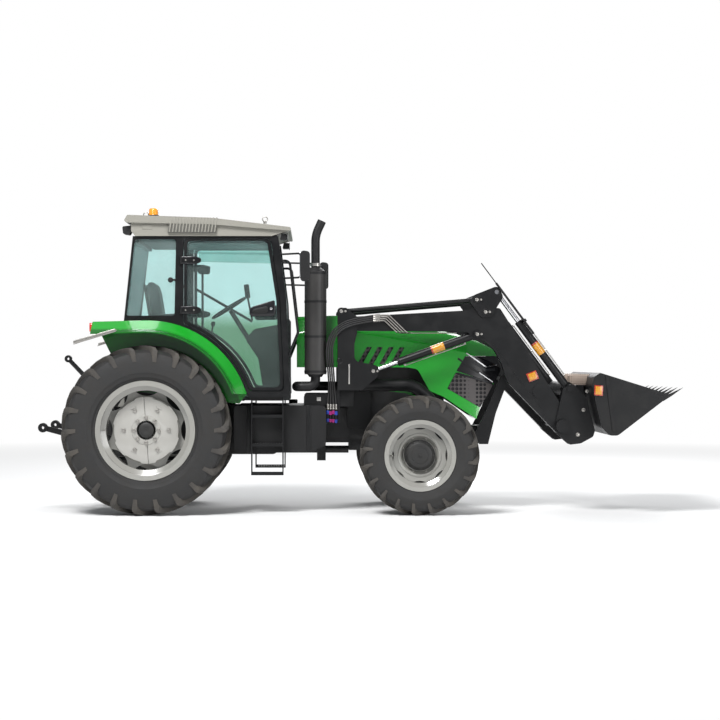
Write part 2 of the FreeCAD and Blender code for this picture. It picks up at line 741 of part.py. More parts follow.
def swept(radius, first_x, last_z, start, end):
    """Three corners of a line that follows a circle round the wheel arch's centre.

    The line leaves first_x at the angle start, turns with radius and runs down to last_z
    at the angle end; angles are in degrees from level.
    """
    middle = "(%s + %s) / 2" % (start, end)
    reach = "(%s) / cos((%s - %s) / 2)" % (radius, end, start)
    rise = "arch_z + ((%s) - (%s - arch_x) * sin(%s)) / cos(%s)" % (radius, first_x, start, start)
    out = "arch_x + ((%s) - (%s - arch_z) * cos(%s)) / sin(%s)" % (radius, last_z, end, end)
    return [(first_x, rise),
            ("arch_x + %s * sin(%s)" % (reach, middle), "arch_z + %s * cos(%s)" % (reach, middle),
             radius),
            (out, last_z)]


def side_opening(side_gap, top_gap):
    """The door's outline: along the fender, up both posts and under the roof."""
    rear = "door_rear_x - (%s)" % side_gap
    low = "door_low_z - (%s)" % side_gap
    high = "door_top_z + (%s)" % top_gap
    sill = swept("fender_radius + door_sill - (%s)" % side_gap, "(%s)" % rear, "(%s)" % low,
                 "sweep_start", "sweep_end")
    return [sill[0] + (30,), sill[1], sill[2] + (50,),
            ("cab_front_low_x - door_post_low + (%s)" % side_gap, low, 50),
            ("cab_front_knee_x - door_post_knee + door_post_low / 2 + (%s)" % side_gap,
             "cab_front_knee_z", 400),
            ("cab_front_top_x - door_post_top - 50 + (%s)" % side_gap, high, 50),
            (rear, high, 40)]


def cab_rail(body, x, low_z, height, depth="cab_rail"):
    """A rail across the cab, between its side walls."""
    half = "(cab_half_width - cab_side)"
    return front_view(body, x, depth,
                      [("-" + half, low_z), (half, low_z),
                       (half, "%s + %s" % (low_z, height)),
                       ("-" + half, "%s + %s" % (low_z, height))])


def cab_frame():
    """The welded cab frame: two side walls with their openings, and cross rails."""
    body = new_body("cab_frame")
    y = "-(cab_half_width - cab_side / 2)"
    over_fender = swept("fender_radius + cab_seat", "cab_rear_low_x", "fender_foot_z",
                        "crown_start", "crown_end")
    wall = side_view(body, y, "cab_side",
                     over_fender + [(over_fender[2][0] + " + 8", "cab_floor_z"),
                                    ("cab_front_low_x", "cab_floor_z", 20),
                                    ("cab_front_knee_x", "cab_front_knee_z", 500),
                                    ("cab_front_top_x", "cab_top_z"),
                                    ("cab_rear_top_x", "cab_top_z")])
    both_sides(body, [wall])
    doc.recompute()
    door_hole = side_view(body, y, "3 * cab_side", side_opening("door_gap", "door_gap"), "Pocket")
    quarter = side_view(body, y, "3 * cab_side", quarter_opening(), "Pocket")
    both_sides(body, [door_hole, quarter])
    cab_rail(body, "cab_rear_top_x + cab_rail_rear / 2", "cab_top_z - cab_rail", "cab_rail",
             "cab_rail_rear")
    cab_rail(body, "cab_front_top_x - cab_rail / 2 - 10", "cab_top_z - cab_rail", "cab_rail")
    cab_rail(body, "cab_rear_low_x + cab_rail / 2 + 10", "cab_waist_z", "cab_sill")
    keep(body, "cab_frame")


def cab_roof():
    """A moulded slab over a tapered skirt."""
    body = new_body("cab_roof")
    skirt = "2 * (roof_half_width - roof_inset)"
    side_view(body, "0", skirt,
              [("skirt_low_rear_x", "cab_top_z", 10), ("skirt_rear_x", "2724", 30),
               ("skirt_rear_x", "roof_rear_z - 10"), ("roof_bend_x", "roof_bend_z - roof_slab / 2"),
               ("roof_front_x - 20", "roof_front_z - roof_slab_front + 2"),
               ("skirt_low_front_x", "cab_top_z", 10)])
    side_view(body, "0", "2 * roof_half_width",
              [("roof_rear_x", "roof_rear_z", 14), ("roof_crest_x", "roof_crest_z", 16),
               ("roof_bend_x", "roof_bend_z", 900), ("roof_front_x", "roof_front_z", 14),
               ("roof_front_x", "roof_front_z - roof_slab_front", 10),
               ("roof_bend_x", "roof_bend_z - roof_slab", 900),
               ("roof_rear_x + 30", "roof_crest_z - roof_slab - 10", 10)])
    keep(body, "cab_roof")


def cab_floor():
    """Footwell floor, riser, seat platform, rear wall and front bulkhead, one folded sheet."""
    body = new_body("cab_floor")
    width = "2 * (fender_inner_y - 1)"
    thick = "cab_floor_thickness"
    side_view(body, "0", width,
              [("cab_front_low_x - 4", "cab_floor_z - %s" % thick),
               ("cab_front_low_x - 4", "cab_bulkhead_z"),
               ("cab_front_low_x - 4 - %s" % thick, "cab_bulkhead_z"),
               ("cab_front_low_x - 4 - %s" % thick, "cab_floor_z"),
               ("-1190", "cab_floor_z", 20), ("-1270", "1470", 20),
               ("cab_rear_low_x + 80", "1470", 20), ("cab_rear_low_x + 42", "cab_waist_z - 10"),
               ("cab_rear_low_x + 4", "cab_waist_z - 10"),
               ("cab_rear_low_x + 44", "1470 - %s" % thick),
               ("-1270 - %s" % thick, "1470 - %s" % thick),
               ("-1190 - %s" % thick, "cab_floor_z - %s" % thick)])
    keep(body, "cab_floor")


def glass_sheet(body, points, thick):
    """A pane across the cab: a line of corners and the same line one thickness forward."""
    back = [(x + " + " + thick, z) + tuple(rest) for x, z, *rest in points[::-1]]
    width = "2 * (cab_half_width - cab_side)"
    return side_view(body, "0", width, points + back)


def cab_glass():
    """Windscreen, rear window and the two quarter windows."""
    body = new_body("cab_glass")
    glass_sheet(body, [("cab_front_top_x - 14", "cab_top_z - cab_rail"),
                       ("cab_front_knee_x - 14", "cab_front_knee_z", 400),
                       ("cab_front_low_x - 42", "cab_bulkhead_z + 2")], "glass_thickness")
    glass_sheet(body, [("cab_rear_top_x + 11", "cab_top_z - cab_rail"),
                       ("cab_rear_low_x + 6", "cab_waist_z + cab_sill")], "glass_thickness")
    pane = side_view(body, "-(cab_half_width - cab_side / 2)", "glass_thickness",
                     quarter_opening())
    both_sides(body, [pane])
    keep(body, "cab_glass")


def quarter_opening():
    low = "cab_waist_z + cab_sill"
    return [("cab_rear_low_x + corner_post + 6", low, 20),
            ("door_rear_x - quarter_low_gap", low, 20),
            ("door_rear_x - quarter_top_gap", "door_top_z", 30),
            ("cab_rear_top_x + corner_post", "door_top_z", 30)]


def door(word, side):
    """A curved-sill door: a flat frame with its glass, hinged at the rear post."""
    y = side + " * (cab_half_width - door_thickness / 2 + 10)"
    frame = new_body("door_" + word)
    side_view(frame, y, "door_thickness", side_opening("0", "0"))
    doc.recompute()
    pane = side_opening("-door_stile", "-door_header")
    side_view(frame, y, "3 * door_thickness", pane, "Pocket")
    for z in ("hinge_high_z", "hinge_low_z"):
        strap = "%s * (cab_half_width + 10 + hinge_strap / 2 - 0.5)" % side
        side_view(frame, strap, "hinge_strap + 1",
                  [("door_hinge_x", z + " - 20"), ("door_hinge_x + 200", z + " - 26", 24),
                   ("door_hinge_x + 200", z + " + 26", 24), ("door_hinge_x", z + " + 20")])
        barrel = new_sketch(frame, "XY_Plane", z)
        add_circle(barrel, "door_hinge_x", side + " * door_hinge_y", "hinge_barrel_radius")
        extrude(frame, barrel, "72")
    keep(frame, "door_" + word)
    glass = new_body("door_glass_" + word)
    side_view(glass, y, "glass_thickness", pane)
    keep(glass, "door_glass_" + word)


def crown(down):
    """Upper line of the fender, drawn in by down, from its rear edge to its foot."""
    return swept("fender_radius - (%s)" % down, "fender_rear_x", "fender_foot_z",
                 "crown_start", "crown_end")


def fender(body, side):
    """One fender: flat crown, sloping shoulder and inner wall."""
    def band(y, drop):
        sketch = new_sketch(body, "XZ_Plane", "-(%s * %s)" % (side, y))
        return add_outline(sketch, crown(drop) + crown(drop + " + fender_wall")[::-1])
    extrude(body, band("(fender_inner_y + fender_shoulder_y) / 2", "0"),
            "fender_shoulder_y - fender_inner_y")
    loft = body.newObject("PartDesign::AdditiveLoft", "Shoulder")
    loft.Profile = band("fender_shoulder_y", "0")
    loft.Sections = [band("fender_outer_y", "fender_drop")]
    loft.Ruled = True
    body.Tip = loft
    wall_y = "%s * (fender_inner_y + fender_wall / 2)" % side
    side_view(body, wall_y, "fender_wall",
              crown("fender_wall / 2") + [("-1130", "1060"), ("-2290", "1190"),
                                          ("-2371", "1525")])


def fender_stays():
    """Flat stays that stand out behind the fenders' lower edges."""
    body = new_body("Stays")
    slope = math.radians(number("stay_slope"))
    run = "stay_length * %.6f" % math.cos(slope)
    fall = "stay_length * %.6f" % math.sin(slope)
    bar = side_view(body, "-stay_y", "stay_width",
                    [("stay_root_x", "stay_root_z"),
                     ("stay_root_x - " + run, "stay_root_z - " + fall),
                     ("stay_root_x - " + run, "stay_root_z - %s - stay_thickness" % fall),
                     ("stay_root_x", "stay_root_z - stay_thickness")])
    both_sides(body, [bar])
    keep(body, "fender_stays")


def fenders():
    right = new_body("FenderRight")
    fender(right, "-1")
    left = new_body("FenderLeft")
    fender(left, "1")
    keep(grouped([right, left]), "fenders")


sizes("Cab inside",
      seat_half_width=240, seat_front_x=-1490, seat_rear_x=-2075, seat_z=1620,
      seat_thickness=120, seat_top_z=2297,
      wheel_centre_x=-1259, wheel_centre_z=2006, wheel_ring_radius=186,
      wheel_grip_radius=14, wheel_tilt=32, column_radius=24, column_length=420)


def seat():
    body = new_body("seat")
    side_view(body, "0", "2 * seat_half_width",
              [("seat_front_x", "seat_z", 40), ("seat_front_x", "seat_z + seat_thickness", 50),
               ("seat_rear_x + 255", "seat_z + seat_thickness", 40),
               ("seat_rear_x + 105", "seat_top_z", 45), ("seat_rear_x", "seat_top_z", 45),
               ("seat_rear_x + 110", "seat_z", 60)])
    keep(body, "seat")


def dashboard():
    body = new_body("DashCowl")
    side_view(body, "0", "430",
              [("cab_front_low_x - 4.5 - cab_floor_thickness", "cab_floor_z"),
               ("cab_front_low_x - 4.5 - cab_floor_thickness", "1850", 60),
               ("-1000", "1790", 60), ("-1090", "1690", 50), ("-960", "1500", 80),
               ("-900", "cab_floor_z")])
    tilt = math.radians(number("wheel_tilt"))
    along = Vector(-math.sin(tilt), 0, math.cos(tilt))
    foot = at("wheel_centre_x", "0", "wheel_centre_z") - along * number("column_length")
    column = doc.addObject("Part::Feature", "Column")
    column.Shape = Part.makeCylinder(number("column_radius"),
                                     number("column_length") - 28, foot, along)
    keep(fused("DashWhole", [body, column]), "dashboard")


def steering_wheel():
    body = new_body("steering_wheel")
    grip = body.newObject("PartDesign::AdditiveTorus", "Rim")
    grip.setExpression("Radius1", link("wheel_ring_radius"))
    grip.setExpression("Radius2", link("wheel_grip_radius"))
    extrude(body, add_circle(new_sketch(body, "XY_Plane", "0"), "0", "0", "46"), "44")
    spoke = top_view(body, "0", "14", [("0", "-16"), ("wheel_ring_radius", "-12"),
                                       ("wheel_ring_radius", "12"), ("0", "16")])
    ring = body.newObject("PartDesign::PolarPattern", "Spokes")
    ring.Originals = [spoke]
    ring.Axis = (origin_of(body, "Z_Axis"), [""])
    ring.Angle = 360
    ring.Occurrences = 3
    body.Tip = ring
    body.Placement = Placement(Vector(0, 0, 0),
                               Rotation(Vector(0, 1, 0), -number("wheel_tilt")))
    put(body, "wheel_centre_x", "0", "wheel_centre_z")
    keep(body, "steering_wheel")


def build_cab():
    cab_frame()
    cab_roof()
    cab_floor()
    cab_glass()
    door("right", "-1")
    door("left", "1")
    fenders()
    fender_stays()
    seat()
    dashboard()
    steering_wheel()


# ---------------------------------------------------------------- hood

sizes("Hood",
      hood_rear_x=-575, hood_rear_z=1911, hood_half_width=385, hood_wall=8,
      hood_sill_z=1412, hood_nose_x=1447, hood_nose_z=1385, hood_front_half=255,
      crease_drop=185, shoulder_run=85, crown_run=190, crown_drop=48,
      hood_hinge_x=-548, hood_hinge_z=1895, hood_hinge_radius=11, hood_hinge_width=260,
      insert_gap=3, vent_x=18, vent_low_z=1440, vent_height=172, vent_width=50,
      vent_lean=96, vent_pitch=108, vent_count=4)

# Each ring of the hood: place along the machine, half width, height of the crown.
hood_rings = [("hood_rear_x - 15", "hood_half_width", "hood_rear_z + 10"),
              ("200", "hood_half_width", "1915"),
              ("851", "hood_half_width - 16", "1795"),
              ("1174", "hood_half_width - 50", "1712"),
              ("hood_nose_x + 5", "hood_front_half", "1585")]


def hood_ring(body, x, half, top, inset):
    """Cross section: upright side, sloping shoulder and a nearly flat crown."""
    w = "(%s) - %s" % (half, inset)
    z = "(%s) - %s" % (top, inset)
    shoulder = "%s - shoulder_run" % w
    crown = "%s - crown_run" % w
    left = [("-(%s)" % w, "850"), ("-(%s)" % w, "%s - crease_drop" % z, 40),
            ("-(%s)" % shoulder, "%s - crown_drop" % z, 60),
            ("-(%s)" % crown, "%s + 8" % z, 60)]
    right = [(crown, "%s + 8" % z, 60), (shoulder, "%s - crown_drop" % z, 60),
             (w, "%s - crease_drop" % z, 40), (w, "850")]
    return add_outline(new_sketch(body, "YZ_Plane", x), left + right)


def hood_skin(name, inset):
    """The hood's rounded form in plan and section, drawn in by inset."""
    body = new_body(name)
    rings = [hood_ring(body, x, half, top, inset) for x, half, top in hood_rings]
    loft = body.newObject("PartDesign::AdditiveLoft", "Form")
    loft.Profile = rings[0]
    loft.Sections = rings[1:]
    body.Tip = loft
    return body


def hood_side(inset):
    """Upper and front side line of the hood, drawn in by inset."""
    return [("hood_rear_x - %s" % inset, "hood_rear_z - %s" % inset),
            ("-172", "hood_rear_z + 13 - %s" % inset, 900),
            ("851", "1776 - %s" % inset, 900),
            ("1174 - 0.3 * %s" % inset, "1693 - %s" % inset, 400),
            ("1390 - %s" % inset, "1580 - %s" % inset, 80),
            ("hood_nose_x - %s" % inset, "hood_nose_z", 60),
            ("1229 - %s" % inset, "1010")]


def hood_block(name, corners, half_width):
    body = new_body(name)
    side_view(body, "0", "2 * (%s)" % half_width, corners)
    return body


def hood_shell():
    """The whole shell, before the lamps' and grille's regions are taken out."""
    outside = hood_side("0") + [("1194", "902"), ("865", "1125"), ("732", "1179", 60),
                                ("613", "1394", 60), ("500", "hood_sill_z", 60),
                                ("hood_rear_x", "hood_sill_z")]
    inside = hood_side("hood_wall") + [("1100", "860"), ("732", "860"), ("500", "1200"),
                                       ("hood_rear_x - hood_wall", "1200")]
    solid = common("HoodSolid", hood_skin("HoodOuter", "0"),
                   hood_block("HoodSide", outside, "hood_half_width + 10"))
    hollow = common("HoodHollow", hood_skin("HoodInner", "hood_wall"),
                    hood_block("HoodInside", inside, "hood_half_width + 10"))
    return less("HoodShell", solid, hollow)


def grille_outline(gap):
    """The mesh panel below the lamps, over both sides and round the nose."""
    return [("990 + (%s)" % gap, "1364 - (%s)" % gap), ("905 + (%s)" % gap, "1202"),
            ("1192", "1036 + (%s)" % gap), ("1260", "1000 + (%s)" % gap),
            ("1480", "1000 + (%s)" % gap), ("1480", "1217 - (%s)" % gap),
            ("1350", "1248 - (%s)" % gap)]


def lamp_outline(gap):
    """The lamp band across the nose, between the mesh and the hood's top."""
    return [("1086", "1524 - (%s)" % gap), ("995 + (%s)" % gap, "1376"),
            ("1362", "1256 + (%s)" % gap), ("1500", "1222 + (%s)" % gap),
            ("1500", "1524 - (%s)" % gap)]


def vents(body):
    """Slanted openings in both sides of the hood."""
    slot = side_view(body, "0", "3 * hood_half_width",
                     [("vent_x", "vent_low_z"), ("vent_x + vent_width", "vent_low_z"),
                      ("vent_x + vent_width + vent_lean", "vent_low_z + vent_height"),
                      ("vent_x + vent_lean", "vent_low_z + vent_height")])
    row = body.newObject("PartDesign::LinearPattern", "VentRow")
    row.Originals = [slot]
    row.Direction = (origin_of(body, "X_Axis"), [""])
    row.setExpression("Length", link("vent_pitch * (vent_count - 1)"))
    row.setExpression("Occurrences", link("vent_count"))
    body.Tip = row
    return body


def hood():
    """The opening hood with its mesh panel and lamp band, cut from one shell."""
    shell = hood_shell()
    wide = "hood_half_width + 20"
    cuts = fused("HoodCuts", [hood_block("MeshRegion", grille_outline("0"), wide),
                              hood_block("LampRegion", lamp_outline("0"), wide),
                              vents(new_body("VentCut"))])
    hinge = cross_pin("HoodHinge", "hood_hinge_x", "0", "hood_hinge_z", "hood_hinge_radius",
                      "hood_hinge_width")
    keep(fused("HoodWithHinge", [less("HoodPanel", shell, cuts), hinge]), "hood")
    mesh = hood_block("MeshPanel", grille_outline("insert_gap"), wide)
    keep(common("MeshShell", shell, mesh), "grille")
    lamp = hood_block("LampPanel", lamp_outline("insert_gap"), wide)
    keep(common("LampShell", shell, lamp), "head_lamps")


def side_panels():
    """Fixed lower side panels of the engine bay."""
    body = new_body("side_panels")
    panel = side_view(body, "-(hood_half_width - 30)", "10",
                      [("301", "1290"), ("460", "1240", 60), ("640", "1150"),
                       ("640", "1110"), ("480", "1160"), ("301", "1180")])
    both_sides(body, [panel])
    keep(body, "side_panels")


def build_hood():
    hood()
    side_panels()


# ---------------------------------------------------------------- fittings

sizes("Exhaust",
      muffler_x=-391, muffler_y=-560, muffler_low_z=1318, muffler_top_z=2383,
      muffler_radius=98, stack_radius=42, stack_wall=4, stack_bend_z=2700,
      stack_tip_x=-328, stack_tip_z=2836, stack_turn_radius=300, elbow_radius=46, elbow_z=1225)


def exhaust():
    body = new_body("Muffler")
    sketch = add_outline(new_sketch(body, "XZ_Plane", "0"),
                         [("0", "0"), ("60", "0"), ("muffler_radius", "50", 30),
                          ("muffler_radius", "muffler_top_z - muffler_low_z - 40", 30),
                          ("55", "muffler_top_z - muffler_low_z"),
                          ("0", "muffler_top_z - muffler_low_z")])
    can = body.newObject("PartDesign::Revolution", "Can")
    can.Profile = sketch
    can.ReferenceAxis = (sketch, ["V_Axis"])
    can.Angle = 360
    put(body, "muffler_x", "muffler_y", "muffler_low_z")
    stack = doc.addObject("Part::Feature", "Stack")
    stack.Shape = tube([at("muffler_x", "muffler_y", "muffler_top_z - 5"),
                        at("muffler_x", "muffler_y", "stack_bend_z"),
                        at("stack_tip_x", "muffler_y", "stack_tip_z")],
                       [number("stack_turn_radius")],
                       number("stack_radius"), number("stack_radius - stack_wall"))
    elbow = doc.addObject("Part::Feature", "Elbow")
    elbow.Shape = tube([at("muffler_x", "muffler_y", "muffler_low_z + 5"),
                        at("muffler_x", "muffler_y", "elbow_z"),
                        at("-575", "muffler_y", "elbow_z"), at("-575", "-180", "elbow_z"),
                        at("clutch_front_x", "-180", "elbow_z")], [70, 60, 80],
                       number("elbow_radius"))
    doc.recompute()
    keep(fused("ExhaustWhole", [body, stack, elbow]), "exhaust")


sizes("Steps and tanks",
      step_rear_x=-1014, step_front_x=-700, step_low_z=369, step_top_z=1090,
      step_inner_y=590, step_outer_y=690, step_rail=12, tread_thickness=30,
      tread_pitch=278, tank_rear_x=-1185, tank_front_x=-288, tank_outer_y=578,
      tank_low_z=590, tank_top_z=1040, box_rear_x=-505, box_front_x=-215,
      box_inner_y=300, box_outer_y=490, box_top_z=1150)


def cab_steps():
    """A ladder of three treads on each side under the door."""
    body = new_body("cab_steps")
    middle = "-(step_inner_y + step_outer_y) / 2"
    width = "step_outer_y - step_inner_y"
    rails = []
    for low, high in (("step_rear_x", "step_rear_x + step_rail"),
                      ("step_front_x - step_rail", "step_front_x")):
        rails.append(side_view(body, middle, width,
                               [(low, "step_low_z"), (low, "step_top_z"),
                                (high, "step_top_z"), (high, "step_low_z")]))
    for level in ("0", "1", "2"):
        z = "step_low_z + %s * tread_pitch" % level
        rails.append(side_view(body, middle, width,
                               [("step_rear_x", z), ("step_rear_x", z + " + tread_thickness"),
                                ("step_front_x", z + " + tread_thickness"),
                                ("step_front_x", z)]))
    rails.append(side_view(body, middle, width,
                           [("step_rear_x", "step_top_z"),
                            ("step_rear_x", "cab_floor_z - 0.3"),
                            ("step_front_x", "cab_floor_z - 0.3"),
                            ("step_front_x", "step_top_z")]))
    both_sides(body, rails)
    keep(body, "cab_steps")


def side_tanks():
    body = new_body("side_tanks")
    inner = "chassis_half_width + 0.5"
    tank = side_view(body, "-((%s) + tank_outer_y) / 2" % inner, "tank_outer_y - (%s)" % inner,
                     [("tank_rear_x", "tank_low_z", 40), ("tank_rear_x", "tank_top_z", 40),
                      ("tank_front_x", "tank_top_z", 40), ("tank_front_x", "tank_low_z + 60", 60),
                      ("tank_front_x - 160", "tank_low_z", 60)])
    both_sides(body, [tank])
    relief = "bell_half_width + 0.5"
    top_view(body, "(tank_low_z + tank_top_z) / 2", "tank_top_z - tank_low_z + 40",
             [("clutch_front_x - 270", "-(%s)" % relief), ("tank_front_x + 40", "-(%s)" % relief),
              ("tank_front_x + 40", relief), ("clutch_front_x - 270", relief)], "Pocket")
    keep(body, "side_tanks")


def battery_boxes():
    """Covered boxes on top of the tanks, just ahead of the cab."""
    body = new_body("battery_boxes")
    case = side_view(body, "-(box_inner_y + box_outer_y) / 2", "box_outer_y - box_inner_y",
                     [("box_rear_x", "tank_top_z + 0.3"), ("box_rear_x", "box_top_z", 30),
                      ("box_front_x", "box_top_z", 50), ("box_front_x", "tank_top_z + 0.3")])
    both_sides(body, [case])
    keep(body, "battery_boxes")


sizes("Lamps and mirrors",
      mirror_right_x=-490, mirror_left_x=-300, mirror_y=1010, mirror_low_z=2225, mirror_height=298,
      mirror_width=115, mirror_depth=46, mirror_arm_radius=9,
      rail_radius=12, beacon_x=-1960, beacon_y=-640, beacon_radius=48, beacon_height=92,
      lamp_width=150)


def mirrors():
    """A mirror on each front post, the left one set further forward."""
    parts = []
    for side, x in (("-1", "mirror_right_x"), ("1", "mirror_left_x")):
        head = new_body("MirrorHead")
        side_view(head, "0", "mirror_width",
                  [("-mirror_depth", "0", 34), ("-mirror_depth", "mirror_height", 34),
                   ("mirror_depth", "mirror_height - 12", 34), ("mirror_depth", "16", 34)])
        put(head, x, side + " * mirror_y", "mirror_low_z")
        arm = doc.addObject("Part::Feature", "MirrorArm")
        post = side + " * (cab_half_width - 20)"
        reach = side + " * (mirror_y - 50)"
        turn = side + " * (mirror_y - 90)"
        top = "mirror_low_z + 275"
        low = "mirror_low_z + 45"
        arm.Shape = tube([at("cab_front_top_x + 5", post, top), at(x + " - 60", turn, top),
                          at(x, reach, top + " - 60"), at(x, reach, low + " + 60"),
                          at(x + " - 60", turn, low), at("cab_front_knee_x - 44", post, low)],
                         [30, 20, 20, 30], number("mirror_arm_radius"))
        parts.append(less("MirrorFree", fused("Mirror", [head, arm]),
                          doc.getObject("cab_frame")))
    keep(grouped(parts), "mirrors")


def handrails():
    shapes = []
    for side in ("-1", "1"):
        y = side + " * (cab_half_width - 25)"
        bar = tube([at("-752", y, "2440"), at("-640", y, "2440"), at("-560", y, "1750"),
                    at("-660", y, "1500")], [50, 60], number("rail_radius"))
        shapes.append(bar.cut(doc.getObject("cab_frame").Shape))
    as_sub_part("handrails", shapes)


def beacon():
    body = new_body("BeaconLens")
    sketch = add_outline(new_sketch(body, "XZ_Plane", "0"),
                         [("0", "0"), ("beacon_radius + 8", "0"), ("beacon_radius + 8", "14"),
                          ("beacon_radius", "14"), ("beacon_radius - 6", "beacon_height", 16),
                          ("0", "beacon_height")])
    lens = body.newObject("PartDesign::Revolution", "Lens")
    lens.Profile = sketch
    lens.ReferenceAxis = (sketch, ["V_Axis"])
    lens.Angle = 360
    put(body, "beacon_x", "beacon_y", "roof_crest_z - 18")
    keep(less("BeaconFree", body, doc.getObject("cab_roof")), "beacon")


def lamps():
    """Work lamps at the roof's corners and tail lamps on the fenders."""
    body = new_body("LampBodies")
    rear = side_view(body, "-(roof_half_width - 130)", "lamp_width",
                     [("skirt_rear_x - 0.3", "2725"), ("skirt_rear_x - 20", "2690", 16),
                      ("skirt_rear_x - 80", "2700", 16), ("skirt_rear_x - 88", "2770", 16),
                      ("skirt_rear_x - 0.3", "2780")])
    front = side_view(body, "-(roof_half_width - 130)", "lamp_width",
                      [("-735", "2640", 10), ("-665", "2640", 16), ("-668", "2700", 16),
                       ("-720", "2698")])
    tail = side_view(body, "-(fender_inner_y + 110)", "150",
                     [("fender_rear_x - 32", "1760"), ("fender_rear_x - 32", "1826", 12),
                      ("fender_rear_x - 0.3", "1836"), ("fender_rear_x - 0.3", "1760")])
    both_sides(body, [rear, front, tail])
    keep(less("LampsTrimmed", body, doc.getObject("cab_roof")), "lamps")


def build_fittings():
    exhaust()
    cab_steps()
    side_tanks()
    battery_boxes()
    mirrors()
    handrails()
    beacon()
    lamps()


# ---------------------------------------------------------------- loader

sizes("Loader pins",
      arm_y=570, arm_width=100, fork_gap=6, fork_plate=12, eye_width=50,
      pivot_x=-56, pivot_z=1837, rod_offset_x=-85, rod_offset_z=119,
      crank_x=1256, crank_z=1949, crank_eye_x=1368, crank_eye_z=2143,
      lift_foot_x=169, lift_foot_z=1376, lift_head_x=1176, lift_head_z=1734,
      hinge_x=1997, hinge_z=844, tilt_head_x=2070, tilt_head_z=1199,
      main_pin_radius=25, small_pin_radius=20, pin_clearance=0.5)

sizes("Loader frame",
      tower_rear_x=-177, tower_front_x=-13, tower_top_z=1990, tower_low_z=1190,
      mount_inner_y=300, mount_plate=25, mount_rear_x=-75, mount_front_x=158,
      mount_low_z=803, mount_top_z=1388, brace_radius=62, brace_y=426,
      brace_foot_y=298, brace_foot_z=700,
      guard_y=320, guard_width=40)

sizes("Loader arms",
      boom_rear_radius=62, knee_top_x=1400, knee_top_z=1985,
      cross_tube_x=1788, cross_tube_z=1182, cross_tube_radius=73,
      channel_top_x=1173, channel_top_z=2159, channel_low_x=2031, channel_low_z=943,
      channel_rise_x=190, channel_rise_z=127,
      level_rod_radius=22, level_eye_radius=38, arm_wall=6,
      barrel_radius=39, bore_radius=30, piston_gap=0.5, piston_length=25,
      barrel_cap=12, gland_length=28, piston_rod_radius=22.5, eye_radius=42, barrel_start=52,
      lift_barrel_length=818, lift_rod_length=840,
      tilt_barrel_length=823, tilt_rod_length=925,
      hinge_shaft_radius=36, hinge_collar_radius=62, hinge_collar_width=42,
      tilt_shaft_radius=70, indicator_reach=85, indicator_lift=42, indicator_block_x=780,
      indicator_low_x=640, indicator_tube_end=1252, indicator_rod_end=1492)

sizes("Loader hoses",
      hose_radius=8, hose_pitch=18, hose_count=4, hose_y=652, hose_root_y=528,
      coupler_radius=12.5, coupler_pitch=27, coupler_low_z=880, coupler_top_z=1000,
      coupler_plate_y=506, coupler_x=-231, pipe_radius=6, pipe_start_x=215,
      pipe_low_z=1746, pipe_end_x=980)

sizes("Bucket",
      bucket_half_width=925, bucket_side_wall=12,
      bucket_lip_x=2326, bucket_lip_z=1361, bucket_edge_x=3000, bucket_edge_z=1150,
      tooth_tip_x=3118, tooth_tip_z=1219, tooth_count=8, tooth_width=26,
      hitch_cross_radius=40, rib_proud=8, rib_width=34)

outer_fork = "-(arm_y + arm_width / 2 + fork_gap + fork_plate / 2)"
inner_fork = "-(arm_y - arm_width / 2 - fork_gap - fork_plate / 2)"
fork_span = "arm_width + 2 * fork_gap + 2 * fork_plate"


def fork_plates(body, corners):
    """The same plate on both faces of the arm."""
    return [side_view(body, outer_fork, "fork_plate", corners),
            side_view(body, inner_fork, "fork_plate", corners)]


def arm_pin(body, x, z, radius, length=fork_span):
    return side_disc(body, "-arm_y", length, x, z, radius)


def bore(body, x, z, pin_radius):
    """A pin's hole through everything beside one arm."""
    doc.recompute()
    return side_disc(body, "-arm_y", "3 * arm_width", x, z,
                     "%s + pin_clearance" % pin_radius, "Pocket")


def loader_towers():
    """Fork towers, their cross beams and the mounting plates on the chassis."""
    body = new_body("Towers")
    made = fork_plates(body, [("tower_rear_x", "tower_low_z"),
                              ("tower_rear_x", "tower_top_z - 40"),
                              ("tower_rear_x + 30", "tower_top_z", 20),
                              ("tower_front_x - 80", "tower_top_z", 20),
                              ("tower_front_x + 35", "pivot_z + 60", 60),
                              ("tower_front_x + 25", "pivot_z - 90", 60),
                              ("tower_front_x", "1640"), ("tower_front_x", "1470", 60),
                              ("lift_foot_x - 20", "1445", 40), ("lift_foot_x + 58", "1420", 40),
                              ("lift_foot_x + 40", "1320", 40), ("60", "tower_low_z")])
    spine = front_view(body, "tower_rear_x + 6", "12",
                       [(outer_fork, "tower_low_z"), (outer_fork, "pivot_z"),
                        (inner_fork, "pivot_z"), (inner_fork, "tower_low_z")])
    made.append(spine)
    beam = side_view(body, "-(mount_inner_y + arm_y + 62) / 2", "arm_y + 62 - mount_inner_y",
                     [("tower_rear_x + 40", "tower_low_z"), ("tower_rear_x + 40", "1290"),
                      ("60", "1290"), ("60", "tower_low_z")])
    made.append(beam)
    plate = side_view(body, "-(mount_inner_y - mount_plate / 2)", "mount_plate",
                      [("mount_rear_x", "mount_low_z", 30), ("mount_rear_x", "mount_top_z", 30),
                       ("mount_front_x", "mount_top_z", 30), ("mount_front_x", "mount_low_z", 30)])
    made.append(plate)
    foot = side_view(body, "-(mount_inner_y - mount_plate + engine_half_width) / 2",
                     "mount_inner_y - mount_plate - engine_half_width",
                     [("mount_rear_x + 30", "mount_low_z + 20"), ("mount_rear_x + 30", "1000"),
                      ("mount_front_x - 20", "1000"), ("mount_front_x - 20", "mount_low_z + 20")])
    made.append(foot)
    made.append(arm_pin(body, "pivot_x", "pivot_z", "main_pin_radius"))
    made.append(arm_pin(body, "pivot_x + rod_offset_x", "pivot_z + rod_offset_z",
                        "small_pin_radius"))
    both_sides(body, made)
    return body


